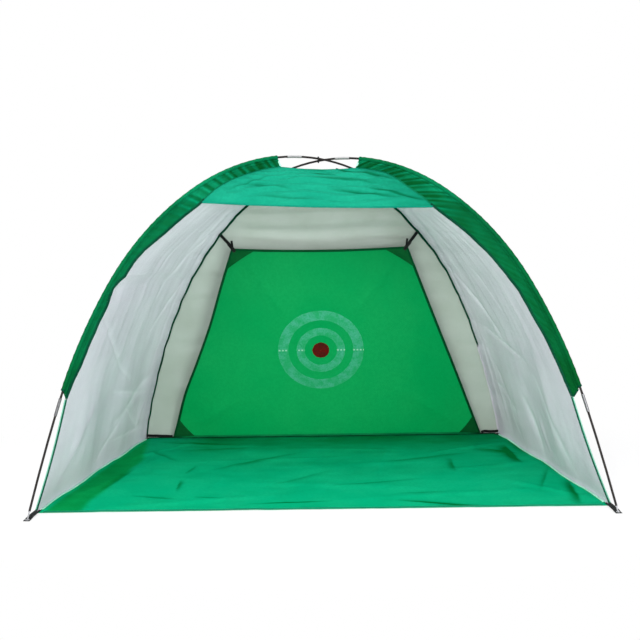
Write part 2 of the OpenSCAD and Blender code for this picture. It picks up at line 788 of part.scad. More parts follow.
// a point inside the outline: inset from a side edge, at a height
function inset_point(side, inset, height) =
    let (t = height / target_height)
    [target_middle(t) + side * (target_half(t) - inset / side_edge(side).y), height];
module target_outline(inset) {
    high = target_height - inset;
    polygon([inset_point(left, inset, inset), inset_point(right, inset, inset),
        inset_point(right, inset, high), inset_point(left, inset, high)]);
}
module target_cloth() {
    color([0, 0.62, 0.32])
        target_frame()
            linear_extrude(target_t)
                target_outline(target_binding);
}
module target_edge_binding() {
    color([0, 0.3, 0.16])
        target_frame()
            translate([0, 0, -cloth / 2])
                linear_extrude(target_t + cloth)
                    difference() {
                        target_outline(0);
                        target_outline(target_binding);
                    }
}
patch_t = 0.8;
patch_gap = 1;
module target_corner_patches() {
    inset = target_binding + patch_gap;
    color([0, 0.32, 0.14])
        target_frame()
            translate([0, 0, target_t])
                linear_extrude(patch_t)
                    for (side = [left, right], level = [-1, 1]) {
                        corner = inset_point(side, inset,
                            level == 1 ? target_height - inset : inset);
                        polygon([corner, corner - [side * patch_leg, 0],
                            corner - level * patch_leg * side_edge(side)]);
                    }
}
print_t = 0.4;
ring_fn = 96;
module target_rings() {
    color([0.35, 0.72, 0.52])
        target_frame()
            translate([0, bullseye_rise, target_t])
                linear_extrude(print_t) {
                    difference() {
                        circle(d = outer_ring_d, $fn = ring_fn);
                        circle(d = outer_ring_d - 2 * outer_ring_width, $fn = ring_fn);
                    }
                    difference() {
                        circle(d = inner_ring_d, $fn = ring_fn);
                        circle(d = inner_ring_d - 2 * inner_ring_width, $fn = ring_fn);
                    }
                }
}
module target_bullseye() {
    color([0.45, 0.08, 0.08])
        target_frame()
            translate([0, bullseye_rise, target_t])
                cylinder(h = print_t, d = bullseye_d, $fn = ring_fn);
}
// webbing tabs that stand up from the upper corners
hanger_tab = 30;
hanger_inset = 4;
hanger_sewn = 18;
hanger_tilt = 36;
module target_hanger_tabs() {
    color([0.07, 0.07, 0.07])
        target_frame()
            for (side = [left, right])
                translate([side * (target_high_width / 2 - hanger_inset), target_height,
                    -cloth / 2 - gap - webbing])
                    rotate([0, 0, -side * hanger_tilt])
                        translate([-strap_width / 2, -hanger_sewn, 0])
                            cube([strap_width, hanger_sewn + hanger_tab, webbing]);
}

// ---- straps ----
// the upper straps reach from the back seams to the target's hanger tabs
hanger_lap = 0.75;
hanger_grip = hanger_lap * hanger_tab;
twist_room = 0.7;
hanger_back = cloth / 2 + 2 * gap + 1.5 * webbing + twist_room;
function hanger_end(side) =
    on_target(side * (target_high_width / 2 - hanger_inset + hanger_grip * sin(hanger_tilt)),
        target_height + hanger_grip * cos(hanger_tilt), -hanger_back);
// the place on a back seam nearest to a point
function seam_slope(side, s, point) =
    let (a = back_beside(side, s - 1, seam_offset), b = back_beside(side, s + 1, seam_offset))
    (point - a) * (b - a);
function nearest_on_seam(side, point, low, high, steps) =
    let (mid = (low + high) / 2)
    steps == 0 ? mid
    : seam_slope(side, mid, point) > 0 ? nearest_on_seam(side, point, mid, high, steps - 1)
    : nearest_on_seam(side, point, low, mid, steps - 1);
strap_s = nearest_on_seam(right, hanger_end(right), seam_start, seam_high, solver_steps);
function strap_root(side) = back_beside(side, strap_s, seam_offset);
target_normal = [0, -cos(target_lean), -sin(target_lean)];
strap_clear = 1;
strap_start = seam_d / 2 + strap_clear;
function strap_x(side) = unit(hanger_end(side) - strap_root(side));
function strap_line(side) =
    unit(back_beside(side, strap_s + 1, seam_offset) - back_beside(side, strap_s - 1, seam_offset));
// the strap's width lies half way between the seam's line and the target's plane
function strap_y(side) =
    let (x = strap_x(side), in_target = unit(cross(target_normal, x)), line = strap_line(side))
    let (middle = in_target + line * sign(in_target * line))
    unit(middle - x * (middle * x));
module strap_top(side) {
    root = strap_root(side);
    x_axis = strap_x(side);
    y_axis = strap_y(side);
    z_axis = cross(x_axis, y_axis);
    color([0.07, 0.07, 0.07])
        multmatrix([
            [x_axis.x, y_axis.x, z_axis.x, root.x],
            [x_axis.y, y_axis.y, z_axis.y, root.y],
            [x_axis.z, y_axis.z, z_axis.z, root.z],
            [0, 0, 0, 1]])
            translate([strap_start, -strap_width / 2, -webbing / 2])
                cube([norm(hanger_end(side) - root) - strap_start, strap_width, webbing]);
}
// the lower straps hold the target's lower corners to the feet of the back seams
strap_room = 2;
strap_inside = net_thickness / 2 + strap_room;
strap_ahead = seam_d / 2 + webbing + strap_room;
module strap_bottom(side) {
    a = on_target(target_shift + side * (target_low_width / 2 + gap), 0, webbing / 2);
    b = back_edge(side, 0) - [side * strap_inside, strap_ahead, 0];
    color([0.07, 0.07, 0.07])
        translate(a)
            rotate([0, 0, atan2(b.y - a.y, b.x - a.x)])
                translate([0, -webbing / 2, 0])
                    cube([norm([b.x - a.x, b.y - a.y]), webbing, strap_width]);
}

pole_sections(left);  // pole_left_sections
pole_ferrules(left);  // pole_left_ferrules
pole_tips(left);  // pole_left_tips
shock_cord(left);  // pole_left_shock_cord
pole_sections(right);  // pole_right_sections
pole_ferrules(right);  // pole_right_ferrules
pole_tips(right);  // pole_right_tips
shock_cord(right);  // pole_right_shock_cord
crossing_tie();
sleeve(left);  // sleeve_left
sleeve(right);  // sleeve_right
sleeve_piping(left);  // sleeve_piping_left
sleeve_piping(right);  // sleeve_piping_right
crown();
crown_hem();
side_net(left);  // side_net_left
side_net(right);  // side_net_right
back_net();
front_binding(left);  // front_binding_left
front_binding(right);  // front_binding_right
back_seam(left);  // back_seam_left
back_seam(right);  // back_seam_right
tie_loops(left);  // tie_loops_left
tie_loops(right);  // tie_loops_right
floor_sheet();
floor_front_hem();
floor_edge_side(left);  // floor_edge_left
floor_edge_side(right);  // floor_edge_right
floor_edge_back();
corner_tab(left, "front");  // corner_tab_front_left
corner_tab(right, "front");  // corner_tab_front_right
corner_tab(left, "back");  // corner_tab_back_left
corner_tab(right, "back");  // corner_tab_back_right
corner_eyelets();
target_cloth();
target_edge_binding();
target_corner_patches();
target_rings();
target_bullseye();
target_hanger_tabs();
strap_top(left);  // strap_top_left
strap_top(right);  // strap_top_right
strap_bottom(left);  // strap_bottom_left
strap_bottom(right);  // strap_bottom_right
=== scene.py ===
from math import asin, atan2, copysign, cos, exp, hypot, pi, radians, sin, tan

import bpy
import numpy as np
from mathutils import Matrix, Vector, noise


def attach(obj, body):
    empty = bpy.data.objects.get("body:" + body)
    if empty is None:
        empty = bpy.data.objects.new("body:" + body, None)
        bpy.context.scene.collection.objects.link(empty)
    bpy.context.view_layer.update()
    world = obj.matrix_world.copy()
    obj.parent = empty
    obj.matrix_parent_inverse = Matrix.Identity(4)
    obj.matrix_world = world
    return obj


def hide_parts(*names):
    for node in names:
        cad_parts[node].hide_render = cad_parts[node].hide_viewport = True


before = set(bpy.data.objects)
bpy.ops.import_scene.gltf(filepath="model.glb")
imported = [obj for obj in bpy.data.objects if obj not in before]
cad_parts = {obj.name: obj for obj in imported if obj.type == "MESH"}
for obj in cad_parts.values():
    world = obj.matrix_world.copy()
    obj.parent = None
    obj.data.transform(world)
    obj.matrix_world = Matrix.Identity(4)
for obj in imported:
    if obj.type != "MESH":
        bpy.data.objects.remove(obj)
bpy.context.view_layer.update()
scene = bpy.context.scene

# ---------------- camera
camera_at = np.array((0.0, -3.955, 1.114))
pitch, yaw, roll = map(radians, (7.455, -0.026, 0.761))
forward = np.array((sin(yaw) * cos(pitch), cos(yaw) * cos(pitch), -sin(pitch)))
level = np.array((cos(yaw), -sin(yaw), 0.0))
upward = np.cross(level, forward)
cam_x = cos(roll) * level - sin(roll) * upward
cam_y = sin(roll) * level + cos(roll) * upward
lens = bpy.data.cameras.new("camera")
lens.lens, lens.sensor_width, lens.sensor_fit, lens.clip_end = 57.31, 36.0, "HORIZONTAL", 60
camera = bpy.data.objects.new("camera", lens)
camera.matrix_world = Matrix([[*row] for row in np.vstack([
    np.column_stack([cam_x, cam_y, -forward, camera_at]), [0, 0, 0, 1]])])
scene.collection.objects.link(camera)
scene.camera = camera

# ---------------- small helpers
LEFT, RIGHT = SIDES = (-1, 1)
WORD = {LEFT: "left", RIGHT: "right"}
TURN = 2 * pi


def unit(v):
    return np.asarray(v, float) / np.linalg.norm(v)


def mix(a, b, t):
    return a + (b - a) * t


def smooth(x):
    x = min(1.0, max(0.0, x))
    return x * x * (3 - 2 * x)


def hump(x, middle, width):
    return exp(-((x - middle) / width) ** 2)


def ease(t):
    return sin(pi * min(1.0, max(0.0, t)))


def wob(x, y=0.0, z=0.0):
    return noise.noise(Vector((x, y, z)))


def steps(count, low=0.0, high=1.0):
    return np.linspace(low, high, count)


def turns(count):
    return [TURN * k / count for k in range(count)]


def over_grid(rows, columns, value):
    """value(h, t) at each point of a grid, where h runs along its rows and t across them, both from 0 to 1."""
    return np.array([[value(j / (columns - 1), i / (rows - 1)) for j in range(columns)] for i in range(rows)])


def profile(at, values, x):
    return float(np.interp(x, at, values))


def halve(low, high, above):
    """The value between low and high from which above(value) holds, by halving."""
    for _ in range(26):
        mid = (low + high) / 2
        low, high = (low, mid) if above(mid) else (mid, high)
    return (low + high) / 2


def set_off(p, line, other, distance):
    """Moves p towards other, square to line."""
    v = other - p
    return p + unit(v - line * (v @ line)) * distance


def ridge(x, y, x0, y0, x1, y1, width, sharp=False):
    """How near (x, y) is to a crease from (x0, y0) to (x1, y1): 1 on it, fading off it and at its ends."""
    dx, dy = x1 - x0, y1 - y0
    size = hypot(dx, dy)
    t = ((x - x0) * dx + (y - y0) * dy) / size ** 2
    across = abs((x - x0) * dy - (y - y0) * dx) / size
    d = hypot(across, max(0.0, -t, t - 1) * size) / width
    body = 1 / (1 + d * d) ** 2 if sharp else exp(-d * d)
    return body * (0.35 + 0.65 * ease(t))


def stroke(x, y, x0, y0, x1, y1, width):
    """The shaded side of a crease: it starts sharply on the line and fades off to its left."""
    dx, dy = x1 - x0, y1 - y0
    size = hypot(dx, dy)
    t = ((x - x0) * dx + (y - y0) * dy) / size ** 2
    across = ((y - y0) * dx - (x - x0) * dy) / size + 0.15 * width * wob(t * 5, width * 90)
    if not -0.2 < t < 1.2 or not -width < across < 4 * width:
        return 0.0
    body = exp(-(across / (width if across > 0 else 0.25 * width)) ** 2)
    return body * ease(0.06 + 0.88 * t)


def creased(x, y, kind, lines, wide=1.0):
    """What all lines of a table, each with its ends, width and depth, do to (x, y)."""
    return sum(depth * kind(x, y, *ends, width * wide) for *ends, width, depth in lines)


# ---------------- the poles' curve, as in the solids
SECTIONS, STARTS, HALF = (0.389, 0.456, 0.456, 0.456), (0.0, 0.389, 0.845, 1.301), 1.757
POLE = 2 * HALF
DEPTH, FRONT, BACK = 1.050, 2.000, 1.600
FRONT_FOOT, BACK_FOOT = (1.005, -0.603), (0.820, 0.545)
FEET = (FRONT_FOOT[0] + BACK_FOOT[0], BACK_FOOT[1] - FRONT_FOOT[1])
SPAN, HEADING = hypot(*FEET), atan2(FEET[1], FEET[0])
LIFT = 0.0086


def chain(lean, bend):
    """Place and slope of a pole at the ends of its sections up to its middle."""
    states = [(0.0, 0.0, lean)]
    for size in SECTIONS:
        u, z, a = states[-1]
        turn = bend * ((z + cos(a) * size / 2) / HALF) ** 1.2 * size / HALF
        r = size / turn
        states.append((u + r * (cos(a) - cos(a + turn)),
                       z + r * (sin(a + turn) - sin(a)), a + turn))
    return states


def solve_bend(lean):
    return halve(0.0, radians(500), lambda bend: chain(lean, bend)[-1][2] > pi / 2)


LEAN = halve(radians(1), radians(50), lambda lean: chain(lean, solve_bend(lean))[-1][0] > SPAN / 2)
STATES = chain(LEAN, solve_bend(LEAN))


def pole_state(s):
    if s > HALF:
        u, z, a = pole_state(POLE - s)
        return SPAN - u, z, pi - a
    i = 0 if s < SECTIONS[0] else min(3, 1 + int((s - SECTIONS[0]) / SECTIONS[1]))
    u, z, a = STATES[i]
    r = SECTIONS[i] / (STATES[i + 1][2] - a)
    b = a + (s - STARTS[i]) / r
    return u + r * (cos(a) - cos(b)), z + r * (sin(b) - sin(a)), b


def in_place(side, along, height, aside=0.0):
    """A point of the upright plane of the pole with its front foot on this side."""
    turn = HEADING if side == LEFT else pi - HEADING
    return np.array((side * FRONT_FOOT[0] + along * cos(turn) - aside * sin(turn),
                     FRONT_FOOT[1] + along * sin(turn) + aside * cos(turn),
                     height + (LIFT if side == LEFT else 0.0)))


def beside(side, s, inward, aside=0.0):
    u, z, a = pole_state(s)
    return in_place(side, u + inward * cos(a), z - inward * sin(a), aside)


def back_beside(side, s, inward, aside=0.0):
    return beside(-side, POLE - s, inward, aside)


# ---------------- materials
def feed(tree, socket, value):
    """Links a socket, or sets it."""
    if isinstance(value, bpy.types.NodeSocket):
        tree.links.new(value, socket)
    else:
        socket.default_value = value


def add_node(tree, kind, *inputs, **settings):
    """A new node with its settings, and its first inputs linked or set."""
    made = tree.nodes.new("ShaderNode" + kind)
    for key, value in settings.items():
        setattr(made, key, value)
    for socket, value in zip(made.inputs, inputs):
        if value is not None:
            feed(tree, socket, value)
    return made


def times(color, factor):
    return tuple(c * factor for c in color)


class Look:
    """A Principled material and short ways to add nodes to it."""

    def __init__(self, name):
        self.mat = bpy.data.materials.new(name)
        self.mat.use_nodes = True
        self.tree = self.mat.node_tree
        self.shader = next(n for n in self.tree.nodes if n.type == "BSDF_PRINCIPLED")

    def set(self, **values):
        """Links or sets the shader's inputs, and gives the material."""
        for name, value in values.items():
            feed(self.tree, self.shader.inputs[name.replace("_", " ")], value)
        return self.mat

    def math(self, operation, a, b=None, c=None, clamp=False):
        return add_node(self.tree, "Math", a, b, c, operation=operation, use_clamp=clamp).outputs[0]

    def blend(self, fac, a, b, kind="MIX"):
        made = add_node(self.tree, "Mix", fac, data_type="RGBA", blend_type=kind)
        for socket, value in ((made.inputs[6], a), (made.inputs[7], b)):
            feed(self.tree, socket, (*value, 1) if isinstance(value, tuple) else value)
        return made.outputs[2]

    def painted(self, name="tone"):
        """A painted value. The tone is painted light and shade: 0 where a cloth is painted shaded, as in a fold, 1
        on a lit face.
        """
        return add_node(self.tree, "Attribute", attribute_name=name).outputs["Fac"]

    def coords(self, kind="Object"):
        return add_node(self.tree, "TexCoord").outputs[kind]

    def scaled(self, vector, scale):
        scale = scale if isinstance(scale, tuple) else (scale,) * 3
        return add_node(self.tree, "VectorMath", vector, scale, operation="MULTIPLY").outputs[0]

    def split(self, vector):
        return add_node(self.tree, "SeparateXYZ", vector).outputs

    def noise(self, vector, scale, detail=3.0, rough=0.55):
        made = add_node(self.tree, "TexNoise", vector)
        for name, value in (("Scale", scale), ("Detail", detail), ("Roughness", rough)):
            made.inputs[name].default_value = value
        return made.outputs[0]

    def ramp(self, value, low, high, out_low=0.0, out_high=1.0):
        return add_node(self.tree, "MapRange", value, low, high, out_low, out_high,
                        interpolation_type="SMOOTHSTEP").outputs[0]

    def bump(self, height, strength, distance):
        made = add_node(self.tree, "Bump", strength, distance)
        feed(self.tree, made.inputs["Height"], height)
        return made.outputs[0]

    def weave(self, pitch):
        """Over and under threads of a plain weave, from the piece's own lengths in metres."""
        x, y, _ = self.split(self.scaled(self.coords("UV"), pi / pitch))
        return self.math("MULTIPLY", self.math("SINE", x), self.math("SINE", y))


def cloth_look(name, color, pitch=0.0011, sheen=0.04, rough=0.70, tone=0.10, weave=0.35, patch=7.0,
               stitches=None, stripe=None, ribs=None, shade=None, margin=None, gloss=0.03):
    """Woven cloth: threads in the bump and the colour, soft blotches, sheen. Stitches and stripe run along it."""
    look = Look(name)
    m = look.math
    thread = look.weave(pitch)
    spot, fine = look.noise(look.coords(), patch, 4.0), look.noise(look.coords(), 90.0)
    light = tuple(min(1.0, c * (1 + tone) + 0.004) for c in color)
    base = look.blend(look.ramp(spot, 0.34, 0.66), times(color, 1 - tone), light)
    base = look.blend(look.ramp(fine, 0.35, 0.65, 0.0, 0.35), base, times(color, 0.82))
    base = look.blend(look.ramp(thread, -0.9, 0.2, 0.22, 0.0), base, times(color, 0.45))
    height = m("MULTIPLY_ADD", fine, 0.8, thread)
    if stripe or stitches or ribs:
        along, across, _ = look.split(look.coords("UV"))
    if shade:                                    # painted shade: what the colour keeps where the painted tone is 0
        base = look.blend(look.painted(), look.blend(1.0, base, shade, "MULTIPLY"), base)
    if margin:                                   # painted shade on the raised margin: what the colour keeps there
        base = look.blend(look.painted("margin"), base, look.blend(1.0, base, margin, "MULTIPLY"))
    if stripe:                                   # (from, to, colour) across the tape, in metres
        inside = m("MULTIPLY", m("GREATER_THAN", across, stripe[0]), m("LESS_THAN", across, stripe[1]))
        base = look.blend(inside, base, stripe[2])
    if stitches:                                 # (distance from the middle, half width, colour)
        off = m("ABSOLUTE", m("SUBTRACT", m("ABSOLUTE", across), stitches[0]))
        line = m("LESS_THAN", off, stitches[1])
        seam = m("MULTIPLY", line, m("LESS_THAN", m("FRACT", m("DIVIDE", along, 0.0032)), 0.68))
        base = look.blend(m("MULTIPLY", seam, 0.8), base, stitches[2])
        height = m("MULTIPLY_ADD", seam, 1.2, m("MULTIPLY_ADD", line, -1.6, height))
    if ribs:                                     # distance of the ribs across webbing
        height = m("MULTIPLY_ADD", m("SINE", m("MULTIPLY", along, TURN / ribs)), 1.4, height)
    return look.set(Base_Color=base, Roughness=look.ramp(spot, 0.3, 0.7, rough - 0.06, rough + 0.06),
                    Normal=look.bump(height, weave, 0.00035), Sheen_Weight=sheen, Sheen_Roughness=0.45,
                    Sheen_Tint=(*times(color, 1 / max(color)), 1), Specular_IOR_Level=gloss)


NET_PITCH = 0.0026


def net_look(name, dim, bright, hole_alpha, painted=True):
    """Fine knitted mesh: bright threads round small openings that let the background through."""
    look = Look(name)
    m = look.math
    u, v, _ = look.split(look.scaled(look.coords("UV"), pi / NET_PITCH))
    opening = look.ramp(m("MULTIPLY", m("ABSOLUTE", m("SINE", m("ADD", u, v))),
                          m("ABSOLUTE", m("SINE", m("SUBTRACT", u, v)))), 0.15, 0.75)
    spot = look.ramp(look.noise(look.coords(), 5.0, 4.0), 0.32, 0.68)
    # on the side nets the painted tone holds painted light: it moves the mesh from its shaded dim colour to its
    # lit bright one
    if painted:
        spot = m("MULTIPLY_ADD", m("SUBTRACT", spot, 0.5), 0.25, look.painted(), clamp=True)
    base = look.blend(m("MULTIPLY", opening, 0.15), look.blend(spot, dim, bright), times(dim, 0.6))
    return look.set(Base_Color=base, Alpha=look.ramp(opening, 0.0, 1.0, 1.0, hole_alpha), Roughness=0.6,
                    Normal=look.bump(m("SUBTRACT", 1.0, opening), 0.4, 0.0004), Specular_IOR_Level=0.3)


MINT = (0.18, 0.45, 0.33)
sleeve_mat = cloth_look("sleeve_cloth", (0.0, 0.250, 0.112), tone=0.08, patch=9.0, shade=(0.0, 0.28, 0.12))
seam_cover_mat = cloth_look("seam_cover_cloth", (0.62, 0.60, 0.66), tone=0.08, pitch=0.0022)
sleeve_seam_mat = cloth_look("sleeve_seam_cloth", (0.0, 0.135, 0.060), tone=0.2, pitch=0.0009)
# The crown's colour, lighter and bluer than the sleeves', partly paints in light shining through the thin cloth;
# its tone paints shaded folds.
crown_mat = cloth_look("crown_cloth", (0.004, 0.272, 0.164), tone=0.06, patch=5.0, shade=(0.0, 0.42, 0.30))
# painted shade: the tone darkens folds and the target's shadow, and the margin takes blue out of the raised left
# margin
floor_mat = cloth_look("floor_cloth", (0.002, 0.430, 0.200), tone=0.05, patch=4.0, rough=0.5,
                       shade=(0.0, 0.34, 0.14), margin=(1.0, 1.0, 0.58), gloss=0.0)
# its shade is painted light: the panel keeps full colour at the lower corners and darkens towards the top
target_mat = cloth_look("target_cloth", (0.0005, 0.375, 0.097), tone=0.03, patch=3.0, rough=0.6,
                        shade=(1.0, 0.70, 0.70))
patch_mat = cloth_look("patch_cloth", (0.0, 0.078, 0.017), tone=0.12)
binding_mat = cloth_look("binding_cloth", (0.0, 0.045, 0.022), tone=0.2, weave=0.5, pitch=0.0009,
                         stitches=(0.0030, 0.0004, (0.01, 0.10, 0.05)))
edge_binding_mat = cloth_look("edge_binding_cloth", (0.0, 0.085, 0.045), tone=0.2, weave=0.5,
                              pitch=0.0009, stripe=(-0.0090, -0.0022, MINT))
# its shade is painted: the target's binding is darker along its sides and top than along its foot
panel_binding_mat = cloth_look("panel_binding_cloth", (0.0, 0.185, 0.056), tone=0.15, weave=0.5, pitch=0.0009,
                               shade=(0.0, 0.27, 0.25), stitches=(0.0030, 0.0004, (0.01, 0.12, 0.05)))
hem_mat = cloth_look("hem_cloth", (0.004, 0.24, 0.125), tone=0.1, stitches=(0.0065, 0.0005, (0.10, 0.42, 0.26)))
crown_hem_mat = cloth_look("crown_hem_cloth", (0.003, 0.215, 0.140), tone=0.1)
mint_mat = cloth_look("mint_piping", (0.50, 0.92, 0.74), tone=0.06, pitch=0.0008)
dark_edge_mat = cloth_look("dark_edge_cloth", (0.0, 0.050, 0.024), tone=0.2, pitch=0.0009)
web_mat = cloth_look("black_webbing", (0.010, 0.011, 0.011), rough=0.7, tone=0.25, weave=0.8,
                     pitch=0.0016, ribs=0.0022, stitches=(0.0052, 0.0004, (0.05, 0.05, 0.05)))
# dim and bright are the side nets' painted shaded and lit colours, tinted lilac against the green light bounced
# onto them
side_net_mat = net_look("side_net_mesh", (0.575, 0.542, 0.635), (0.85, 0.828, 0.92), 0.84)
# the back net is the same white mesh as the sides; its darker, greener colours are painted shade and bounced green
# light
back_net_mat = net_look("back_net_mesh", (0.360, 0.435, 0.365), (0.425, 0.500, 0.440), 0.80, painted=False)


def pole_look():
    look = Look("pole_fibre")
    place = look.coords()
    streak, mottle = look.noise(look.scaled(place, (60, 60, 9)), 6.0, 4.0), look.noise(place, 40.0)
    base = look.blend(look.ramp(streak, 0.35, 0.7), (0.008, 0.0075, 0.0075), (0.022, 0.017, 0.015))
    base = look.blend(look.ramp(mottle, 0.5, 0.8, 0.0, 0.5), base, (0.030, 0.024, 0.021))
    return look.set(Base_Color=base, Roughness=look.ramp(streak, 0.3, 0.7, 0.38, 0.52),
                    Normal=look.bump(streak, 0.15, 0.0004), Specular_IOR_Level=0.15)


def metal_look(name, color, rough, scratch, low_darkening=None):
    look = Look(name)
    place = look.coords()
    streak, worn = look.noise(look.scaled(place, (30, 30, 300)), 5.0, 4.0), look.noise(place, 55.0)
    base = look.blend(look.ramp(streak, 0.3, 0.7), times(color, 0.84), color)
    base = look.blend(look.ramp(worn, 0.55, 0.8, 0.0, 0.4), base, times(color, 0.6))
    if low_darkening:                                  # darker low down, bright higher up
        height = look.ramp(look.split(place)[2], 0.45, 1.05)
        base = look.blend(height, look.blend(1.0, base, low_darkening, "MULTIPLY"), base)
    return look.set(Base_Color=base, Roughness=look.ramp(streak, 0.3, 0.7, rough - 0.06, rough + 0.1),
                    Normal=look.bump(streak, scratch, 0.0002), Metallic=1.0)


def print_look(name, color, under, mottle, seam):
    """Ink printed on the woven panel: patchy, with the cloth's green showing through."""
    look = Look(name)
    m = look.math
    blot, grain = look.noise(look.coords(), 26.0, 5.0, 0.65), look.noise(look.coords(), 160.0)
    base = look.blend(look.ramp(blot, 0.36, 0.66, mottle, 0.0), color, under)
    base = look.blend(look.ramp(grain, 0.45, 0.7, 0.0, mottle * 0.8), base, under)
    if seam:                                     # a dashed seam across the rings
        across, along, _ = look.split(look.coords("UV"))
        line = m("LESS_THAN", m("ABSOLUTE", along), 0.0032)
        dash = m("LESS_THAN", m("FRACT", m("DIVIDE", across, 0.014)), 0.55)
        base = look.blend(m("MULTIPLY", m("MULTIPLY", line, dash), 0.45), base, (0.45, 0.75, 0.60))
    height = m("MULTIPLY_ADD", grain, 1.2, look.weave(0.0011))
    return look.set(Base_Color=base, Normal=look.bump(height, 0.35, 0.0003), Roughness=0.6,
                    Specular_IOR_Level=0.1)


pole_mat = pole_look()
ferrule_mat = metal_look("ferrule_steel", (0.50, 0.50, 0.51), 0.30, 0.12, (0.30, 0.30, 0.31))
tip_mat = metal_look("tip_steel", (0.42, 0.42, 0.44), 0.32, 0.15)
eyelet_mat = metal_look("eyelet_steel", (0.45, 0.46, 0.48), 0.28, 0.08)
cord_mat = cloth_look("cord_elastic", (0.60, 0.60, 0.55), sheen=0.1, tone=0.1, pitch=0.0008)
ring_mat = print_look("ring_print", (0.050, 0.335, 0.208), (0.003, 0.285, 0.080), 0.75, True)
bull_mat = print_look("bullseye_print", (0.130, 0.001, 0.0005), (0.030, 0.006, 0.003), 0.7, False)

for nodes_of, look in ((("pole_left_sections", "pole_right_sections"), pole_mat),
                       (("pole_left_ferrules", "pole_right_ferrules"), ferrule_mat),
                       (("pole_left_tips", "pole_right_tips"), tip_mat),
                       (("pole_left_shock_cord", "pole_right_shock_cord"), cord_mat),
                       (("corner_eyelets",), eyelet_mat)):
    for n in nodes_of:
        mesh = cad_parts[n].data
        mesh.materials.clear()
        mesh.materials.append(look)
        for p in mesh.polygons:
            p.material_index = 0


# ---------------- mesh makers
def finish_piece(name, verts, faces, uvs, material, node=None, thickness=0.0, body="frame"):
    """An object of these faces, on its body, with the CAD node that it stands for."""
    mesh = bpy.data.meshes.new(name)
    mesh.from_pydata([tuple(map(float, v)) for v in verts], [], faces)
    layer = mesh.uv_layers.new(name="UVMap")
    loops = np.zeros(len(mesh.loops), np.int32)
    mesh.loops.foreach_get("vertex_index", loops)
    layer.data.foreach_set("uv", np.asarray(uvs, np.float32)[loops].ravel())
    mesh.polygons.foreach_set("use_smooth", [True] * len(mesh.polygons))
    mesh.materials.append(material)
    mesh.update()
    obj = bpy.data.objects.new(name, mesh)
    scene.collection.objects.link(obj)
    if thickness:
        solid = obj.modifiers.new("thickness", "SOLIDIFY")
        solid.thickness, solid.offset = thickness, 0.0
    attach(obj, body)
    if node:
        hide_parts(node)
    return obj


def paint(obj, values, name="tone"):
    """Keeps a value for each point of a cloth, for its material."""
    layer = obj.data.attributes.new(name, "FLOAT", "POINT")
    layer.data.foreach_set("value", np.clip(np.asarray(values, np.float32).ravel(), 0.0, 1.0))
    return obj


def grid_faces(rows, columns, closed=False, flip=False):
    faces = []
    for i in range(rows - 1):
        for j in range(columns if closed else columns - 1):
            a, b = i * columns + j, i * columns + (j + 1) % columns
            f = (a, b, b + columns, a + columns)
            faces.append(f[::-1] if flip else f)
    return faces


def lengths(path):
    """How far along a path each of its points lies."""
    return np.concatenate([[0], np.cumsum(np.linalg.norm(np.diff(path, axis=0), axis=1))])


def sheet(name, points, material, node, thickness=0.0, uv=None, flip=False, body="frame"):
    """An open sheet through a grid of points; its UVs are lengths in metres along and across."""
    points = np.array(points)
    rows, columns = points.shape[:2]
    if uv is None:
        middle = columns // 2
        across = np.array([lengths(row) for row in points])
        along = lengths(points[:, middle])
        uv = np.dstack([across - across[:, middle:middle + 1], np.repeat(along[:, None], columns, axis=1)])
    return finish_piece(name, points.reshape(-1, 3), grid_faces(rows, columns, flip=flip), uv.reshape(-1, 2),
                        material, node, thickness, body)


ROUND = 12                                       # points round a band


def rounded(k, power):
    """The k-th point round a band, as shares of half its width and thickness."""
    c, s = cos(TURN * k / ROUND), sin(TURN * k / ROUND)
    return copysign(abs(c) ** power, c), copysign(abs(s) ** power, s)


def band_faces(count, closed):
    """Faces of a band of count rings, closed on itself or with its two ends capped."""
    faces = grid_faces(count, ROUND, closed=True)
    last = (count - 1) * ROUND
    if closed:
        return faces + [(last + k, last + (k + 1) % ROUND, (k + 1) % ROUND, k) for k in range(ROUND)]
    return faces + [tuple(range(ROUND))[::-1], tuple(range(last, last + ROUND))]


def tape(name, path, across, width, thick, material, slot, node=None, closed=False, power=2 / 3, body="frame"):
    """A flat band swept along a path: across gives the direction of its width at each point."""
    path = np.asarray(path, float)
    count = len(path)
    line = np.roll(path, -1, axis=0) - np.roll(path, 1, axis=0) if closed else np.gradient(path, axis=0)
    line /= np.linalg.norm(line, axis=1, keepdims=True)
    across = np.broadcast_to(np.asarray(across, float), path.shape)
    across = across - line * np.sum(across * line, axis=1, keepdims=True)
    across /= np.linalg.norm(across, axis=1, keepdims=True)
    normal = np.cross(line, across)
    width = np.broadcast_to(width, count)
    verts, uvs = [], []
    for i, along in enumerate(lengths(path)):
        for k in range(ROUND):
            x, y = rounded(k, power)
            verts.append(path[i] + across[i] * (x * width[i] / 2) + normal[i] * (y * thick / 2))
            uvs.append((along, x * width[i] / 2))
    return finish_piece(name, verts, band_faces(count, closed), uvs, material, node, body=body)


WEB, WEB_WIDE = 0.0013, 0.0140


def web(name, path, across, width, node=None, thick=WEB, **more):
    return tape(name, path, across, width, thick, web_mat, "black_webbing", node, **more)


def trim(name, path, across, width, thick, material, node=None, **more):
    return tape(name, path, across, width, thick, material, "binding_cloth", node, **more)


# ---------------- edges that the cloth shares
CHANNEL_R, RETURN_IN = 0.00615, 0.01515          # the sleeve's channel round the pole, and its return
SLEEVE_LOW, SLEEVE_HIGH, LOW_INNER = 0.447, 1.682, 0.421
EDGE_CLEAR, SEAM_CLEAR = 0.0022, 0.0024
CROWN_LOW, SEAM_HIGH = 1.315, 1.590
TIE_FIRST, TIE_STEP, TIES = 0.200, 0.245, 6      # the loops that tie a back seam to its pole
NET_FOOT = 0.0030
SHAPE_AT = (0, .15, .3, .45, .57, .65, .7, .78, .88, 1)
SHAPE = (.5, .6, .71, .8, .91, .98, .96, .78, .61, .54)


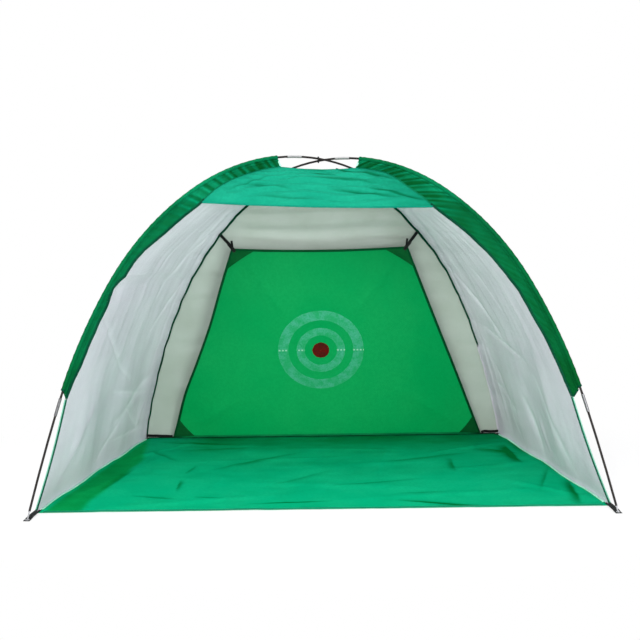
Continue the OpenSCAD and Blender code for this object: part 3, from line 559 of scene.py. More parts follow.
def sleeve_in(s):
    """From a pole's axis to the inner edge of its sleeve, which tapers along the crown."""
    return 0.064 * profile(SHAPE_AT, SHAPE, (s - SLEEVE_LOW) / (SLEEVE_HIGH - SLEEVE_LOW))


EDGE_AT = (.42, .48, .54, .60, .66, .72, .78, .81, .84, .87, .90,
           .96, 1.02, 1.08, 1.12, 1.17, 1.23, 1.29, 1.38, 1.45, 1.55, 1.68)
EDGE_OFF = {LEFT: (-.015, -.013, -.009, -.010, -.013, -.016, -.018, -.026, -.032, -.028, -.018,
                   -.022, -.021, -.012, -.009, -.009, -.010, -.009, -.014, -.012, -.004, -.001),
            RIGHT: (.003, .006, .005, .006, .005, .006, .005, .004, .003, .005, .007,
                    .009, .009, .011, .010, .011, .011, .011, .010, .008, -.005, -.002)}


def edge_in(side, s):
    """From a pole's axis to the taped inner edge of its sleeve, slightly puckered by the gathers."""
    pucker = 0.0016 * wob(s * 17, side * 3.1) + 0.0009 * wob(s * 41, side * 7.7)
    even = sum(sleeve_in(s + d) for d in (-0.03, -0.015, 0.0, 0.015, 0.03)) / 5
    return even + 0.0028 + profile(EDGE_AT, EDGE_OFF[side], s) + pucker


def sleeve_edge(side, s):
    return beside(side, s, edge_in(side, s))


def binding_low(side):
    return np.array((side * (FRONT / 2 - 0.0002), -DEPTH / 2 + 0.010, 0.0083))


BIND = {side: float(np.linalg.norm(sleeve_edge(side, LOW_INNER) - binding_low(side))) for side in SIDES}
FRONT_LONG = {side: BIND[side] + SLEEVE_HIGH - LOW_INNER for side in SIDES}


def front_edge(side, t):
    """Up the front edge: from the front corner to the sleeve, then along the sleeve's inner edge."""
    d = t * FRONT_LONG[side]
    if d > BIND[side]:
        return sleeve_edge(side, LOW_INNER + d - BIND[side])
    u = d / BIND[side]
    pull = unit((-side * 0.8, 0.55, 0.1)) * 0.006 * ease(u)
    return mix(binding_low(side), sleeve_edge(side, LOW_INNER), u) + pull


SEAM_AT = (.03, .1, .2, .3, .45, .6, .7, .8, .9, 1.0, 1.1, 1.25, 1.40, 1.59)
SEAM_IN = {LEFT: (.030, .020, .016, .015, .015, .017, .019, .021, .026, .028, .029, .026, .026, .030),
           RIGHT: (.024, .018, .015, .015, .015, .016, .018, .020, .025, .032, .036, .033, .029, .030)}


def seam_in(side, s):
    """A back seam runs close to its pole at each tie loop and hangs away between them."""
    slack = 0.0026 * abs(sin(TURN * (s - TIE_FIRST) / TIE_STEP)) + 0.0016 * wob(s * 23, side * 5.3)
    return profile(SEAM_AT, SEAM_IN[side], s) + slack * smooth((s - 0.03) / 0.1) * smooth((SEAM_HIGH - s) / 0.1)


def back_edge(side, t):
    s = mix(0.020, SEAM_HIGH, t)
    return back_beside(side, s, seam_in(side, s))


def edge_line(edge, side, t, step=0.003):
    return unit(edge(side, t + step) - edge(side, t - step))


# ---------------- side nets
FOLDS = {  # creases: from (h, t) to (h, t), width and depth in metres, sharp or soft
    LEFT: ((.02, .44, .64, .22, .009, .006, True), (.60, .11, .92, .20, .030, .007, False),
           (.52, .20, .90, .15, .010, .005, True), (.64, .15, .88, .05, .012, .005, True),
           (.58, .06, .94, .04, .010, .004, True), (.48, .02, .62, .10, .012, .004, True),
           (.74, .35, .97, .53, .012, .005, True), (.64, .45, .92, .72, .010, .004, True),
           (.46, .50, .60, .78, .010, .003, True), (.90, .22, .96, .78, .014, .005, True),
           (.12, .02, .30, .20, .030, -.005, False), (.84, .02, .95, .16, .010, -.004, True)),
    RIGHT: ((.98, .54, .62, .31, .014, .007, True), (.82, .34, .42, .27, .011, .005, True),
            (.90, .17, .70, .11, .012, .006, True), (.93, .05, .97, .80, .012, .007, True),
            (.86, .02, .90, .30, .010, -.006, True), (.52, .00, .58, .16, .018, .008, False),
            (.44, .00, .50, .12, .014, -.005, False), (.70, .00, .86, .24, .012, .005, True),
            (.22, .02, .40, .24, .026, .004, False), (.46, .40, .60, .55, .008, .003, True),
            (.56, .34, .66, .52, .008, -.003, True)),
}


def net_place(h, t):
    """A point of a side net spread flat, in metres."""
    return h * mix(1.05, 0.26, t), t * 1.65


def net_creases(side, h, t, share=1.0):
    """Each crease's depth, and how near to it (h, t) is."""
    x, y = net_place(h, t)
    for h0, t0, h1, t1, width, depth, sharp in FOLDS[side]:
        yield depth, ridge(x, y, *net_place(h0, t0), *net_place(h1, t1), width * share, sharp)


def net_swell(side, h, t):
    big = 0.018 * ease(t) + 0.014 * (1 - t) * ease(min(1, t * 3 + 0.1)) * sin(radians(900 * h + 140 * t))
    fine = 0.0008 * sin(44 * h + 5 * sin(4 * t) + side)
    fine += 0.0030 * wob(h * 9, t * 3.2, side) + 0.0016 * wob(h * 26, t * 8, 3 + side)
    for depth, near in net_creases(side, h, t):
        fine += depth * near
    return ease(h) * big + min(1.0, 6 * h, 6 * (1 - h)) * min(1.0, 14 * t + 0.15, 14 * (1 - t)) * fine


def net_tone(side, h, t):
    """Painted highlights and shade on the mesh, partly standing for mesh that lies double: whiter along the
    outward creases and near the back seam, darker in the inward creases, and lighter on the upper part of each
    net, most on the right one.
    """
    x, y = net_place(h, t)
    tone = 0.42 + 0.20 * wob(h * 2.4, t * 2.6, 4 + side) + 0.10 * wob(x * 9, y * 5, side)
    for depth, near in net_creases(side, h, t, 0.6):
        tone += (0.60 if depth > 0 else -0.25) * near
    tone += 0.35 * smooth((h - 0.60) / 0.35) * smooth((t - 0.12) / 0.2)
    tone += 0.10 * smooth((h - 0.55) / 0.4) * sin(44 * h + 6 * t + 3 * wob(h * 5, t * 3, side))
    return tone + (0.35 if side == LEFT else 0.80) * smooth((t - 0.42) / 0.36)


def side_net(side):
    rows, columns = 171, 120
    points, tones = np.zeros((rows, columns, 3)), np.zeros((rows, columns))
    for i in range(1, rows):
        t = mix(0.004, 0.994, (i - 1) / (rows - 2))
        a, b = front_edge(side, t), back_edge(side, t)
        c = set_off(a, edge_line(front_edge, side, t), b, EDGE_CLEAR)
        d = set_off(b, edge_line(back_edge, side, t), a, SEAM_CLEAR)
        out = unit(np.cross(b - a, (0, 0, 1)) * side)
        for j in range(columns):
            h = j / (columns - 1)
            points[i, j] = mix(c, d, h) + out * net_swell(side, h, t)
            tones[i, j] = net_tone(side, h, t)
    points[0], tones[0] = points[1], tones[1]
    points[0, :, 2] = NET_FOOT                   # sewn down to the edge of the floor sheet
    return paint(sheet("net_side_" + WORD[side], points, side_net_mat, "side_net_" + WORD[side],
                       flip=side == RIGHT), tones)


nets = {side: side_net(side) for side in SIDES}


# ---------------- back net, over the top to the crown
BACK_ROWS, ROOF_ROWS = 10, 2                     # steps up the back seams, and over the top


def back_net_side(side, i):
    t = min(1.0, i / BACK_ROWS)
    line = edge_line(back_edge, side, min(t, 0.996))
    edge = set_off(back_edge(side, t), line, back_edge(-side, t), SEAM_CLEAR)
    if i <= BACK_ROWS:
        return edge
    roof = beside(side, SLEEVE_HIGH, edge_in(side, SLEEVE_HIGH) + 0.0028) + (-side * 0.004, 0.0025, -0.0025)
    return mix(edge - (side * 0.004, 0, 0), roof, (i - BACK_ROWS) / ROOF_ROWS)


def back_fold(x, z, h):
    """Level folds behind the target's top and small ones behind its foot."""
    high = smooth((z - 0.82) / 0.12) * smooth((1.13 - z) / 0.10)
    low = 1 - smooth((z - 0.75) / 0.2)
    fold = 0.0048 * high * sin(TURN * z / 0.062 + 4.4 * wob(x * 3, z * 2) + 0.8 * h)
    fold += 0.0030 * high * wob(x * 2.5, z * 34)
    fold += 0.0034 * low * wob(x * 3.5 + 9, z * 19) + 0.0022 * low * wob(x * 9, z * 34, 4)
    return fold + 0.0016 * wob(x * 11, z * 11, 7)


def back_net():
    rows, columns, count = 191, 130, BACK_ROWS + ROOF_ROWS
    out = unit((0, 1, 0.42))
    points = np.zeros((rows, columns, 3))
    for r in range(1, rows):
        i = count * (r - 1) / (rows - 2)
        a, b = back_net_side(LEFT, i), back_net_side(RIGHT, i)
        swell = 0.006 * ease(min(1.0, i / BACK_ROWS))
        strong = min(1.0, i * 1.5, (count - i) * 1.5) * (0.5 if i > BACK_ROWS else 1.0)
        for j in range(columns):
            h = j / (columns - 1)
            p = mix(a, b, h)
            fold = back_fold(p[0], p[2], h) * min(1.0, 9 * h, 9 * (1 - h)) * strong
            points[r, j] = p + (0, swell * ease(h), 0) + out * fold
    points[0] = points[1]
    points[0, :, 2] = NET_FOOT
    return sheet("net_back", points, back_net_mat, "back_net", flip=True)


rear_net = back_net()


# ---------------- front sleeves and their taped edges
def sleeve_gather(side, s, q):
    """Slanting gathers of a sleeve, from -1 to 1: steep on the left one, drawn out on the right one."""
    phase = s - (0.7 if side == LEFT else 2.0) * q
    gather = sin(TURN * phase / 0.038 + 3.0 * wob(phase * 7, side * 2.0))
    gather += 0.5 * sin(TURN * phase / 0.023 + 3.6 * wob(phase * 9, 5 + side))
    return min(1.0, max(-1.0, 0.8 * gather + 1.2 * wob(phase * 24, q * 14, side)))


LIT_AT, LIT = (0.48, 0.60, 1.20, 1.29, 1.39, 1.50), (0.09, 0.23, 0.25, 0.60, 0.56, 0.38)


def sleeve_tone(side, s, share, gather, high):
    """The sleeves are lit from above: dark below the crown and in the gathers beside it."""
    tone = profile(LIT_AT, LIT, s) + 0.08 * wob(s * 14, share * 3, side)
    tone += (0.05 + 0.36 * high) * gather * smooth(share / 0.2) * smooth((s - 0.55) / 0.2)
    if side == LEFT:
        return tone - 0.45 * hump(s, 1.60, 0.035) * smooth(share / 0.4)
    tone -= 0.10 + 0.06 * high + 0.20 * hump(s, 1.44, 0.13) * smooth((share - 0.25) / 0.4)
    return tone - 0.04 * smooth((1.0 - s) / 0.3)


BAND_POINTS, WRAP = 18, 16                       # across the flat of a sleeve, and round the pole
SLEEVE_OFF = 0.0008                              # from the poles' plane to the cloth
LOW_SLANT, HIGH_SLANT = -0.026, 0.014            # how far the ends of a sleeve run on at its inner edge


def sleeve_section(s, edge):
    """From the inner edge round the pole and back: how far inward of the pole's axis, and how far aside."""
    radius = CHANNEL_R + 0.0006
    first = asin(SLEEVE_OFF / radius)
    section = [(mix(edge, radius * 1.02, k / (BAND_POINTS - 1)), SLEEVE_OFF) for k in range(BAND_POINTS)]
    for k in range(WRAP + 1):
        a = mix(first, TURN - first, k / WRAP)
        r = radius + max(0.0, 0.0007 * sin(s * 190 + 2 * a) + 0.0005 * wob(s * 60, a))
        section.append((r * cos(a), r * sin(a)))
    return section + [(mix(radius, RETURN_IN, k / 3), -SLEEVE_OFF) for k in range(1, 4)]


def sleeve(side):
    rows = 330
    points, tones = [], []
    for i in range(rows):
        u = i / (rows - 1)
        middle = mix(SLEEVE_LOW, SLEEVE_HIGH, u)
        edge = edge_in(side, middle) - 0.0018
        strong = 0.35 + 0.65 * smooth((middle - 0.92) / 0.35)
        points.append([])
        for j, (q, w) in enumerate(sleeve_section(middle, edge)):
            share = min(1.0, max(0.0, q / edge))
            s = mix(SLEEVE_LOW + LOW_SLANT * share, SLEEVE_HIGH + HIGH_SLANT * share, u)
            gather, high = sleeve_gather(side, s, q), smooth((s - 1.18) / 0.15)
            if j < BAND_POINTS:
                lay = ease(smooth((q - 0.010) / (edge - 0.003)) * 0.92 + 0.03)
                w += (0.0022 + 0.0014 * high) * strong * gather * lay
            points[-1].append(beside(side, s, q, -side * w))
            tones.append(sleeve_tone(side, s, share, gather, high))
    return paint(sheet("front_sleeve_" + WORD[side], points, sleeve_mat, "sleeve_" + WORD[side],
                       0.0005, flip=side == LEFT), tones)


def sleeve_tape(side, low, high, width, name, look):
    """A narrow tape along the inner edge of a sleeve."""
    values = steps(200, low, high)
    return trim(name + WORD[side], [sleeve_edge(side, s) for s in values],
                [beside(side, s, 0.06) - beside(side, s, 0.04) for s in values], width, 0.0034, look,
                "sleeve_piping_" + WORD[side])


def sleeve_end(side, s, slant, name, look):
    """The turned hem at an end of a sleeve."""
    path, across = [], []
    for u in steps(26):
        q = mix(0.0085, edge_in(side, s) - 0.002, u)
        at = s + slant * min(1.0, q / sleeve_in(s))
        path.append(beside(side, at, q, -side * (0.0010 + 0.0006 * wob(q * 90, s))))
        across.append(beside(side, s + 0.01, q) - beside(side, s - 0.01, q))
    return trim(name + WORD[side], path, across, 0.0060, 0.0022, look)


def ring_hem(side, s, name, look):
    """The same hem where it goes round the pole."""
    path = [beside(side, s, 0.0073 * cos(a), -side * 0.0073 * sin(a)) for a in turns(30)]
    line = beside(side, s + 0.005, 0) - beside(side, s - 0.005, 0)
    return trim(name + WORD[side], path, line, 0.0070, 0.0012, look, closed=True)


sleeves, sleeve_trims = {}, {}
for side in SIDES:
    sleeves[side] = sleeve(side)
    sleeve_trims[side] = [
        sleeve_tape(side, LOW_INNER + 0.002, CROWN_LOW + 0.014, 0.0096, "sleeve_edge_", binding_mat),
        sleeve_tape(side, CROWN_LOW + 0.012, SLEEVE_HIGH + 0.012, 0.0060, "sleeve_crown_seam_", sleeve_seam_mat),
        sleeve_end(side, SLEEVE_LOW, LOW_SLANT, "sleeve_low_hem_", dark_edge_mat),
        sleeve_end(side, SLEEVE_HIGH, HIGH_SLANT, "sleeve_high_hem_", mint_mat),
        ring_hem(side, SLEEVE_LOW + 0.003, "sleeve_low_ring_", dark_edge_mat),
        ring_hem(side, SLEEVE_HIGH - 0.003, "sleeve_high_ring_", sleeve_seam_mat)]


# ---------------- bindings on the nets
def front_binding(side):
    path, across = [], []
    for t in steps(90, 0.0, BIND[side] / FRONT_LONG[side]):
        path.append(front_edge(side, t))
        across.append(unit(back_edge(side, t) - path[-1]) + (-side * 0.9, 0, 0))
    trim("net_front_binding_" + WORD[side], path, across, 0.0105, 0.0030, edge_binding_mat,
         "front_binding_" + WORD[side])


SEAM_RUNS = {LEFT: [("net_back_seam_", 0.020, 1.560, binding_mat)],
             RIGHT: [("net_back_seam_", 0.430, 1.560, binding_mat),
                     ("net_seam_cover_", 0.018, 0.442, seam_cover_mat)]}


def back_seam(side, name, low, high, look):
    """Binding down a back seam; at the right foot a fold of the side net covers it."""
    values = steps(300, low, high)
    path = [back_beside(side, s, seam_in(side, s)) for s in values]
    if low < 0.021:
        path[0] = np.array((path[1][0], path[1][1], 0.0045))
    across = [back_beside(side, s, 0.04) - back_beside(side, s, 0.02)
              + 0.012 * (back_beside(side, s, 0.03, 1.0) - back_beside(side, s, 0.03)) * wob(s * 12, side)
              for s in values]
    width = [profile((0.03, 0.5, 1.0, 1.4), (0.0135, 0.0155, 0.0190, 0.0200), s)
             + 0.0016 * wob(s * 30, side * 2.2) for s in values]
    trim(name + WORD[side], path, across, width, 0.0050, look, "back_seam_" + WORD[side])


def tie_loop(side, n):
    """A short tape that goes round the pole and back to the seam."""
    s = TIE_FIRST + TIE_STEP * n
    line = back_beside(side, s + 0.005, 0) - back_beside(side, s - 0.005, 0)
    path = []
    for a in turns(48):
        stretch = smooth((cos(a) - 0.1) / 0.9)
        path.append(back_beside(side, s, mix(0.0064 * cos(a), seam_in(side, s) - 0.001, stretch),
                                0.0064 * sin(a) * mix(1.0, 0.5, stretch)))
    trim("tie_loop_%s_%d" % (WORD[side], n + 1), path, line, 0.0145, 0.0011, dark_edge_mat,
         "tie_loops_" + WORD[side], closed=True)


for side in SIDES:
    front_binding(side)
    for run in SEAM_RUNS[side]:
        back_seam(side, *run)
    for n in range(TIES):
        tie_loop(side, n)


# ---------------- crown
CROWN_OUT, CROWN_HIGH = unit((0, -1, 1)), 0.42   # outward, and its height as a share of its width


def on_crown(lines):
    return [(h0, t0 * CROWN_HIGH, h1, t1 * CROWN_HIGH, width, depth) for h0, t0, h1, t1, width, depth in lines]


CROWN_FOLDS = on_crown((  # creases: ends as (h, t), width, depth
    (.02, .05, .34, .40, .022, .006), (.03, .16, .40, .62, .020, -.004), (.98, .04, .72, .50, .020, .006),
    (.97, .20, .66, .34, .018, .006), (.96, .42, .60, .80, .016, .004), (.05, .88, .45, .70, .018, .004),
    (.30, .12, .70, .16, .014, .003), (.25, .93, .80, .90, .014, .004)))
CROWN_STROKES = on_crown((  # shaded sides of the long soft creases: ends as (h, t), width, depth
    (.34, .70, .62, .62, .030, .55), (.45, .52, .86, .44, .028, .45), (.70, .86, .98, .52, .045, .60),
    (.56, .30, .90, .16, .022, .50), (.10, .36, .36, .30, .020, .35), (.20, .14, .52, .10, .020, .30),
    (.76, .34, 1.00, .10, .026, .55), (.05, .20, .20, .62, .026, .30), (.30, .92, .60, .88, .018, .40),
    (.60, .96, .92, .74, .022, .50)))


def crown_side(side, t):
    s = mix(CROWN_LOW, SLEEVE_HIGH, t)
    p = sleeve_edge(side, s)
    line = unit(sleeve_edge(side, s + 0.004) - sleeve_edge(side, s - 0.004))
    return set_off(p, line, p * (-1, 1, 1), EDGE_CLEAR)


def crown_point(h, t):
    wave = sin(radians(720 * t + 60 * sin(radians(200 * h))))
    drop = 0.008 * ease(h) * ease(abs(2 * t - 1) / 2)
    fine = 0.0030 * sin(TURN * (t * 6.5 + 0.9 * wob(h * 3.2, t * 2)) + 2.0 * sin(5 * h))
    fine += 0.0024 * wob(h * 6, t * 11, 2) + 0.0014 * wob(h * 16, t * 24, 5)
    fine += creased(h, t * CROWN_HIGH, ridge, CROWN_FOLDS)
    spread = min(1.0, 10 * h, 10 * (1 - h)) * min(1.0, 8 * t + 0.1, 8 * (1 - t) + 0.15)
    return mix(crown_side(LEFT, t), crown_side(RIGHT, t), h) - (0, 0, drop) \
        + CROWN_OUT * (0.0035 * ease(h) * ease(t) * wave + fine * spread)


def crown_tone(h, t):
    # painted shade: darker towards the right side and the left edge, and on the shaded side of each long crease
    tone = 1.0 - 0.34 * smooth((h - 0.70) / 0.28) - 0.10 * smooth((0.12 - h) / 0.12)
    tone += 0.10 * wob(h * 5, t * 4, 3) + 0.16 * wob(h * 9, t * 22, 8)
    return tone - 1.9 * creased(h, t * CROWN_HIGH, stroke, CROWN_STROKES, 0.7)


CROWN_GRID = (110, 170)
crown_piece = paint(sheet("crown_panel", over_grid(*CROWN_GRID, crown_point), crown_mat, "crown",
                          0.0006), over_grid(*CROWN_GRID, crown_tone))
crown_hem = tape("crown_low_hem", [crown_point(h, 0.0) - (0, 0, 0.0012) for h in steps(150)], (0, 0.35, -1),
                 0.0070, 0.0034, crown_hem_mat, "crown_cloth", "crown_hem")
crown_top = tape("crown_top_hem", [crown_point(h, 1.0) + (0, 0, 0.0004) for h in steps(90)], (0, 0.5, 0.86),
                 0.0060, 0.0026, crown_hem_mat, "crown_cloth")

# ---------------- floor sheet
CORNERS = [(side * w / 2, y) for side in SIDES for w, y in ((FRONT, -DEPTH / 2), (BACK, DEPTH / 2))]
CREASES = (  # wrinkles in the floor sheet: ends, width, height
    (-.93, -.40, -.62, .30, .030, .0045), (-.75, -.48, -.20, -.36, .026, .0040),
    (-.55, .10, .10, .16, .020, .0036), (-.30, -.20, .35, -.28, .030, .0040),
    (.10, -.42, .72, -.33, .026, .0042), (.45, .20, .78, .36, .016, .0060),
    (.62, .30, .80, .18, .014, .0055), (.50, -.05, .88, .05, .022, .0045),
    (.70, -.20, .95, -.44, .020, .0055), (-.10, .30, .40, .26, .018, .0034),
    (-.70, .40, -.20, .34, .018, .0034), (-.20, .02, .55, .08, .024, .0030),
    (-.88, .10, -.55, .44, .018, .0044), (.20, -.12, .30, .38, .016, .0028),
    (-.42, -.30, -.30, .38, .018, .0028), (.74, .02, .80, .40, .018, .0045))
STROKES = (  # shaded sides of the sharper creases: ends, width, depth
    (.029, -.430, -.264, -.452, .012, .75), (-.212, -.515, -.426, -.522, .012, .50),
    (-.545, -.147, -.544, -.290, .016, .60), (-.510, .049, -.544, -.065, .014, .35),
    (-.746, .297, -.602, .130, .022, .35), (-.697, -.345, -.530, -.394, .016, .45),
    (-.472, -.367, -.364, -.395, .012, .45), (.274, -.440, .545, -.520, .018, .85),
    (.408, -.500, .640, -.520, .012, .60), (.902, -.508, .927, -.202, .030, .75),
    (.799, -.337, .890, -.047, .016, .40), (.802, .030, .775, .302, .042, .80),
    (.863, .150, .833, .404, .036, .60), (.520, -.073, .525, .120, .024, .45),
    (.825, .184, .648, .259, .030, .45), (.949, -.189, .874, .103, .022, .45),
    (-.715, .433, -.402, .381, .026, .35), (-.094, .247, -.447, -.012, .030, .30),
    (.373, -.163, .028, -.252, .022, .30), (.030, -.035, -.198, -.242, .030, .25),
    (.620, .211, .234, .073, .030, .30), (-.826, -.290, -.748, .002, .020, .35),
    (.466, -.335, .264, -.351, .018, .30), (-.30, .330, -.62, .300, .030, .25))
FLOOR_GRID = (200, 330)


def half_floor(y):
    return mix(FRONT, BACK, (y + DEPTH / 2) / DEPTH) / 2


def floor_z(x, y):
    z = 0.0009 + 0.0022 * max(0.0, wob(x * 5.5, y * 7.5, 1)) + 0.0014 * max(0.0, wob(x * 15, y * 17, 3))
    z += creased(x, y, ridge, CREASES)
    rise = 0.0042 if x < 0 else 0.0034
    z += rise * smooth(1 - (half_floor(y) - abs(x)) / 0.065) * (0.75 + 0.5 * wob(y * 6, 4 if x < 0 else 9))
    z += 0.0012 * smooth(1 - (y + DEPTH / 2) / 0.03) * max(0.0, wob(x * 6, 8))
    near = min(hypot(x - cx, y - cy) for cx, cy in CORNERS)
    return 0.0008 + (z - 0.0008) * smooth((near - 0.03) / 0.10)


def floor_at(h, t):
    y = mix(-DEPTH / 2, DEPTH / 2, t)
    return mix(-1.0, 1.0, h) * half_floor(y), y


def floor_point(h, t):
    x, y = floor_at(h, t)
    bow = 0.004 * wob(y * 4, 2 if x < 0 else 6) * abs(x) / half_floor(y)
    return x + bow, y, floor_z(x, y)


def floor_margin(x, y):
    """1 on the raised left margin of the floor sheet, where painted shade goes, 0 elsewhere."""
    inset = x + half_floor(y)
    width = 0.105 * smooth((0.56 - y) / 0.5) * (1 + 0.35 * wob(y * 5, 11)) + 0.012
    return smooth((inset - 0.010) / 0.030) * (1 - smooth((inset - width) / 0.035))


def floor_tone(x, y):
    """Painted shade: darker in the target's shade, on the raised left margin and on the far side of each crease.
    """
    shade = 0.62 * smooth((y - 0.16 + 0.05 * wob(x * 3, 5)) / 0.36) + 0.22 * smooth((y + 0.30) / 0.5)
    tone = 1.0 - shade * (1 - 0.70 * smooth((-0.46 - x) / 0.24))
    tone = mix(tone, 0.52 + 0.10 * smooth(y / 0.4), floor_margin(x, y))
    tone += 0.13 * wob(x * 4, y * 7, 2) + 0.12 * wob(x * 11, y * 24, 6)
    return tone - 1.5 * creased(x, y, stroke, STROKES, 0.8)


floor_piece = sheet("floor_cloth_sheet", over_grid(*FLOOR_GRID, floor_point), floor_mat,
                    "floor_sheet", 0.0006)
paint(floor_piece, over_grid(*FLOOR_GRID, lambda h, t: floor_tone(*floor_at(h, t))))
# painted shade of the raised left margin, which also takes blue out of it
paint(floor_piece, over_grid(*FLOOR_GRID, lambda h, t: floor_margin(*floor_at(h, t))), "margin")

HEM_LONG, HEM_WIDE, HEM_GRID, PIPING_ROUND = 1.950, 0.018, (9, 260), 1 / 1.2
FOOT_ROW = slice(3, 118)                         # a side net's foot without its corners


def hem_point(h, t):
    x, y = HEM_LONG * (h - 0.5), HEM_WIDE * t - DEPTH / 2
    return x, y, floor_z(x, y) + (0.0005 if t in (0, 1) else 0.0013)


def side_piping(side):
    """Light piping along the foot of a side net."""
    path = []
    for v in nets[side].data.vertices[FOOT_ROW]:
        x, y = v.co[0] - side * 0.0056, v.co[1]
        path.append((x, y, max(floor_z(x, y) + 0.0019, 0.0024)))
    return tape("floor_piping_" + WORD[side], path, (1, 0, 0), 0.0074, 0.0044, mint_mat, "floor_piping",
                "floor_edge_" + WORD[side], power=PIPING_ROUND)


def back_piping():
    path = []
    for k in range(220):
        x, y = (BACK / 2 - 0.018) * (1 - 2 * k / 219), DEPTH / 2
        path.append((x, y + 0.0014 + 0.0008 * wob(k * 0.07, 7), max(floor_z(x, y - 0.004) + 0.0016, 0.0024)))
    return trim("floor_piping_back", path, (0, 1, 0.25), 0.0100, 0.0042, dark_edge_mat, "floor_edge_back",
                power=PIPING_ROUND)


hem_uv = over_grid(*HEM_GRID, lambda h, t: (HEM_LONG * h, HEM_WIDE * (t - 0.5)))
front_hem = sheet("floor_hem_front", over_grid(*HEM_GRID, hem_point), hem_mat,
                  "floor_front_hem", 0.0005, hem_uv)
floor_trims = [front_hem, side_piping(LEFT), side_piping(RIGHT), back_piping()]


# ---------------- corner tabs
TAB_Z, TAB_HALF, TAB_HOLE = 0.00225, 0.011, 0.0047


def corner_tab(side, front):
    """Webbing from a corner of the floor sheet to its pole's tip, with a hole for the eyelet."""
    word = ("front_" if front else "back_") + WORD[side]
    corner = np.array((side * (FRONT if front else BACK) / 2, (-DEPTH if front else DEPTH) / 2))
    owner = side if front else -side
    step = (TAB_Z - (LIFT if owner == LEFT else 0.0)) * tan(LEAN)
    pin = in_place(owner, step if front else SPAN - step, 0)[:2]
    reach = float(np.linalg.norm(pin - corner))
    line = (pin - corner) / reach
    rows, columns = 64, 26
    verts, uvs = [], []
    for i in range(rows):
        a = mix(-0.026, reach + 0.011, i / (rows - 1))
        flat = smooth((abs(a - reach) - 0.008) / 0.012)
        for j in range(columns):
            b = mix(-TAB_HALF, TAB_HALF, j / (columns - 1))
            x, y = corner + line * a + np.array((-line[1], line[0])) * b
            z = 0.0009 * (1 + wob(a * 60, b * 30, side)) + 0.0012 * ease((a + 0.01) / (reach + 0.01))
            verts.append((x, y, TAB_Z + flat * z))
            uvs.append((a, b))
    faces = [quad for quad in grid_faces(rows, columns, flip=True)
             if all(hypot(uvs[k][0] - reach, uvs[k][1]) > TAB_HOLE for k in quad)]
    finish_piece("tab_" + word, verts, faces, uvs, web_mat, "corner_tab_" + word, WEB)


for side in SIDES:
    corner_tab(side, True)
    corner_tab(side, False)

# ---------------- target
TARGET_H, TARGET_LOW, TARGET_HIGH, TARGET_SHIFT = 0.890, 1.380, 0.730, 0.022
TARGET_Y, TARGET_RISE, TARGET_LEAN = DEPTH / 2 - 0.022, 0.008, radians(15.5)
BINDING, CLOTH, RING_RISE, PATCH = 0.011, 0.0012, 0.422, 0.088
PANEL_CREASES = ((-.33, .86, -.12, .55, .020, .0030), (.33, .86, .14, .58, .020, .0030),
                 (-.62, .03, -.30, .22, .024, .0024), (.64, .03, .32, .24, .024, .0024))


def on_target(x, height, out=0.0):
    """A point of the target's plane, or that far in front of it."""
    return np.array((x, TARGET_Y - height * sin(TARGET_LEAN) - out * cos(TARGET_LEAN),
                     TARGET_RISE + height * cos(TARGET_LEAN) - out * sin(TARGET_LEAN)))


def target_half(t):
    return mix(TARGET_LOW, TARGET_HIGH, t) / 2


def target_middle(t):
    return TARGET_SHIFT * (1 - t)


def side_edge(side):
    return unit((side * (TARGET_HIGH - TARGET_LOW) / 2 - TARGET_SHIFT, TARGET_H))


def inset_point(side, inset, height):
    t = height / TARGET_H
    return np.array((target_middle(t) + side * (target_half(t) - inset / side_edge(side)[1]), height))


def panel(x, height, out):
    """A point of the hanging panel: its top sags, its left edge bows, and it is lightly creased."""
    t = height / TARGET_H
    across = (x - target_middle(t)) / target_half(t)
    sag = 0.0105 * max(0.0, 1 - across * across) * smooth((t - 0.62) / 0.38)
    bow = -0.010 * hump(t, 0.24, 0.13) + 0.006 * hump(t, 0.62, 0.15) if x < 0 else 0.002 * hump(t, 0.35, 0.2)
    crease = 0.0016 * wob(x * 5, height * 1.6, 2) + 0.0010 * wob(x * 13, height * 3.0, 6)
    crease += 0.0022 * smooth((t - 0.7) / 0.3) * sin(x * 21 + 2 * wob(x * 3, 1)) * (1 - across * across)
    crease += 0.0018 * smooth((0.35 - t) / 0.35) * sin(x * 26 + height * 6)
    crease += creased(x, height, ridge, PANEL_CREASES)
    fade = min(1.0, 10 * (1 - abs(across)), 12 * t + 0.1, 12 * (1 - t) + 0.1)
    return on_target(x + bow * across * across, height - sag, out + max(0.0, fade) * crease)


def panel_height(t):
    return mix(0.006, TARGET_H - 0.006, t)


def panel_point(h, t):
    height = panel_height(t)
    left, right = (inset_point(side, 0.006, height)[0] for side in SIDES)
    return panel(mix(left, right, h), height, 0.0006)


def panel_tone(h, t):
    # painted light: full colour at the lower corners, darker towards the top and the middle, evening out the
    # lamps' light on the panel
    return (1 - panel_height(t) / TARGET_H) ** 1.5 * (0.61 + 0.39 * (2 * h - 1) ** 2)


def outline(u, inset):
    """A point of the panel's outline, u from 0 to 4 round its sides from the lower left corner."""
    k, f = int(u) % 4, u - int(u)
    low, high = inset, TARGET_H - inset
    corners = ((LEFT, low), (RIGHT, low), (RIGHT, high), (LEFT, high))
    a, b = ((side, inset, height) for side, height in (corners[k], corners[(k + 1) % 4]))
    return mix(inset_point(*a), inset_point(*b), f)


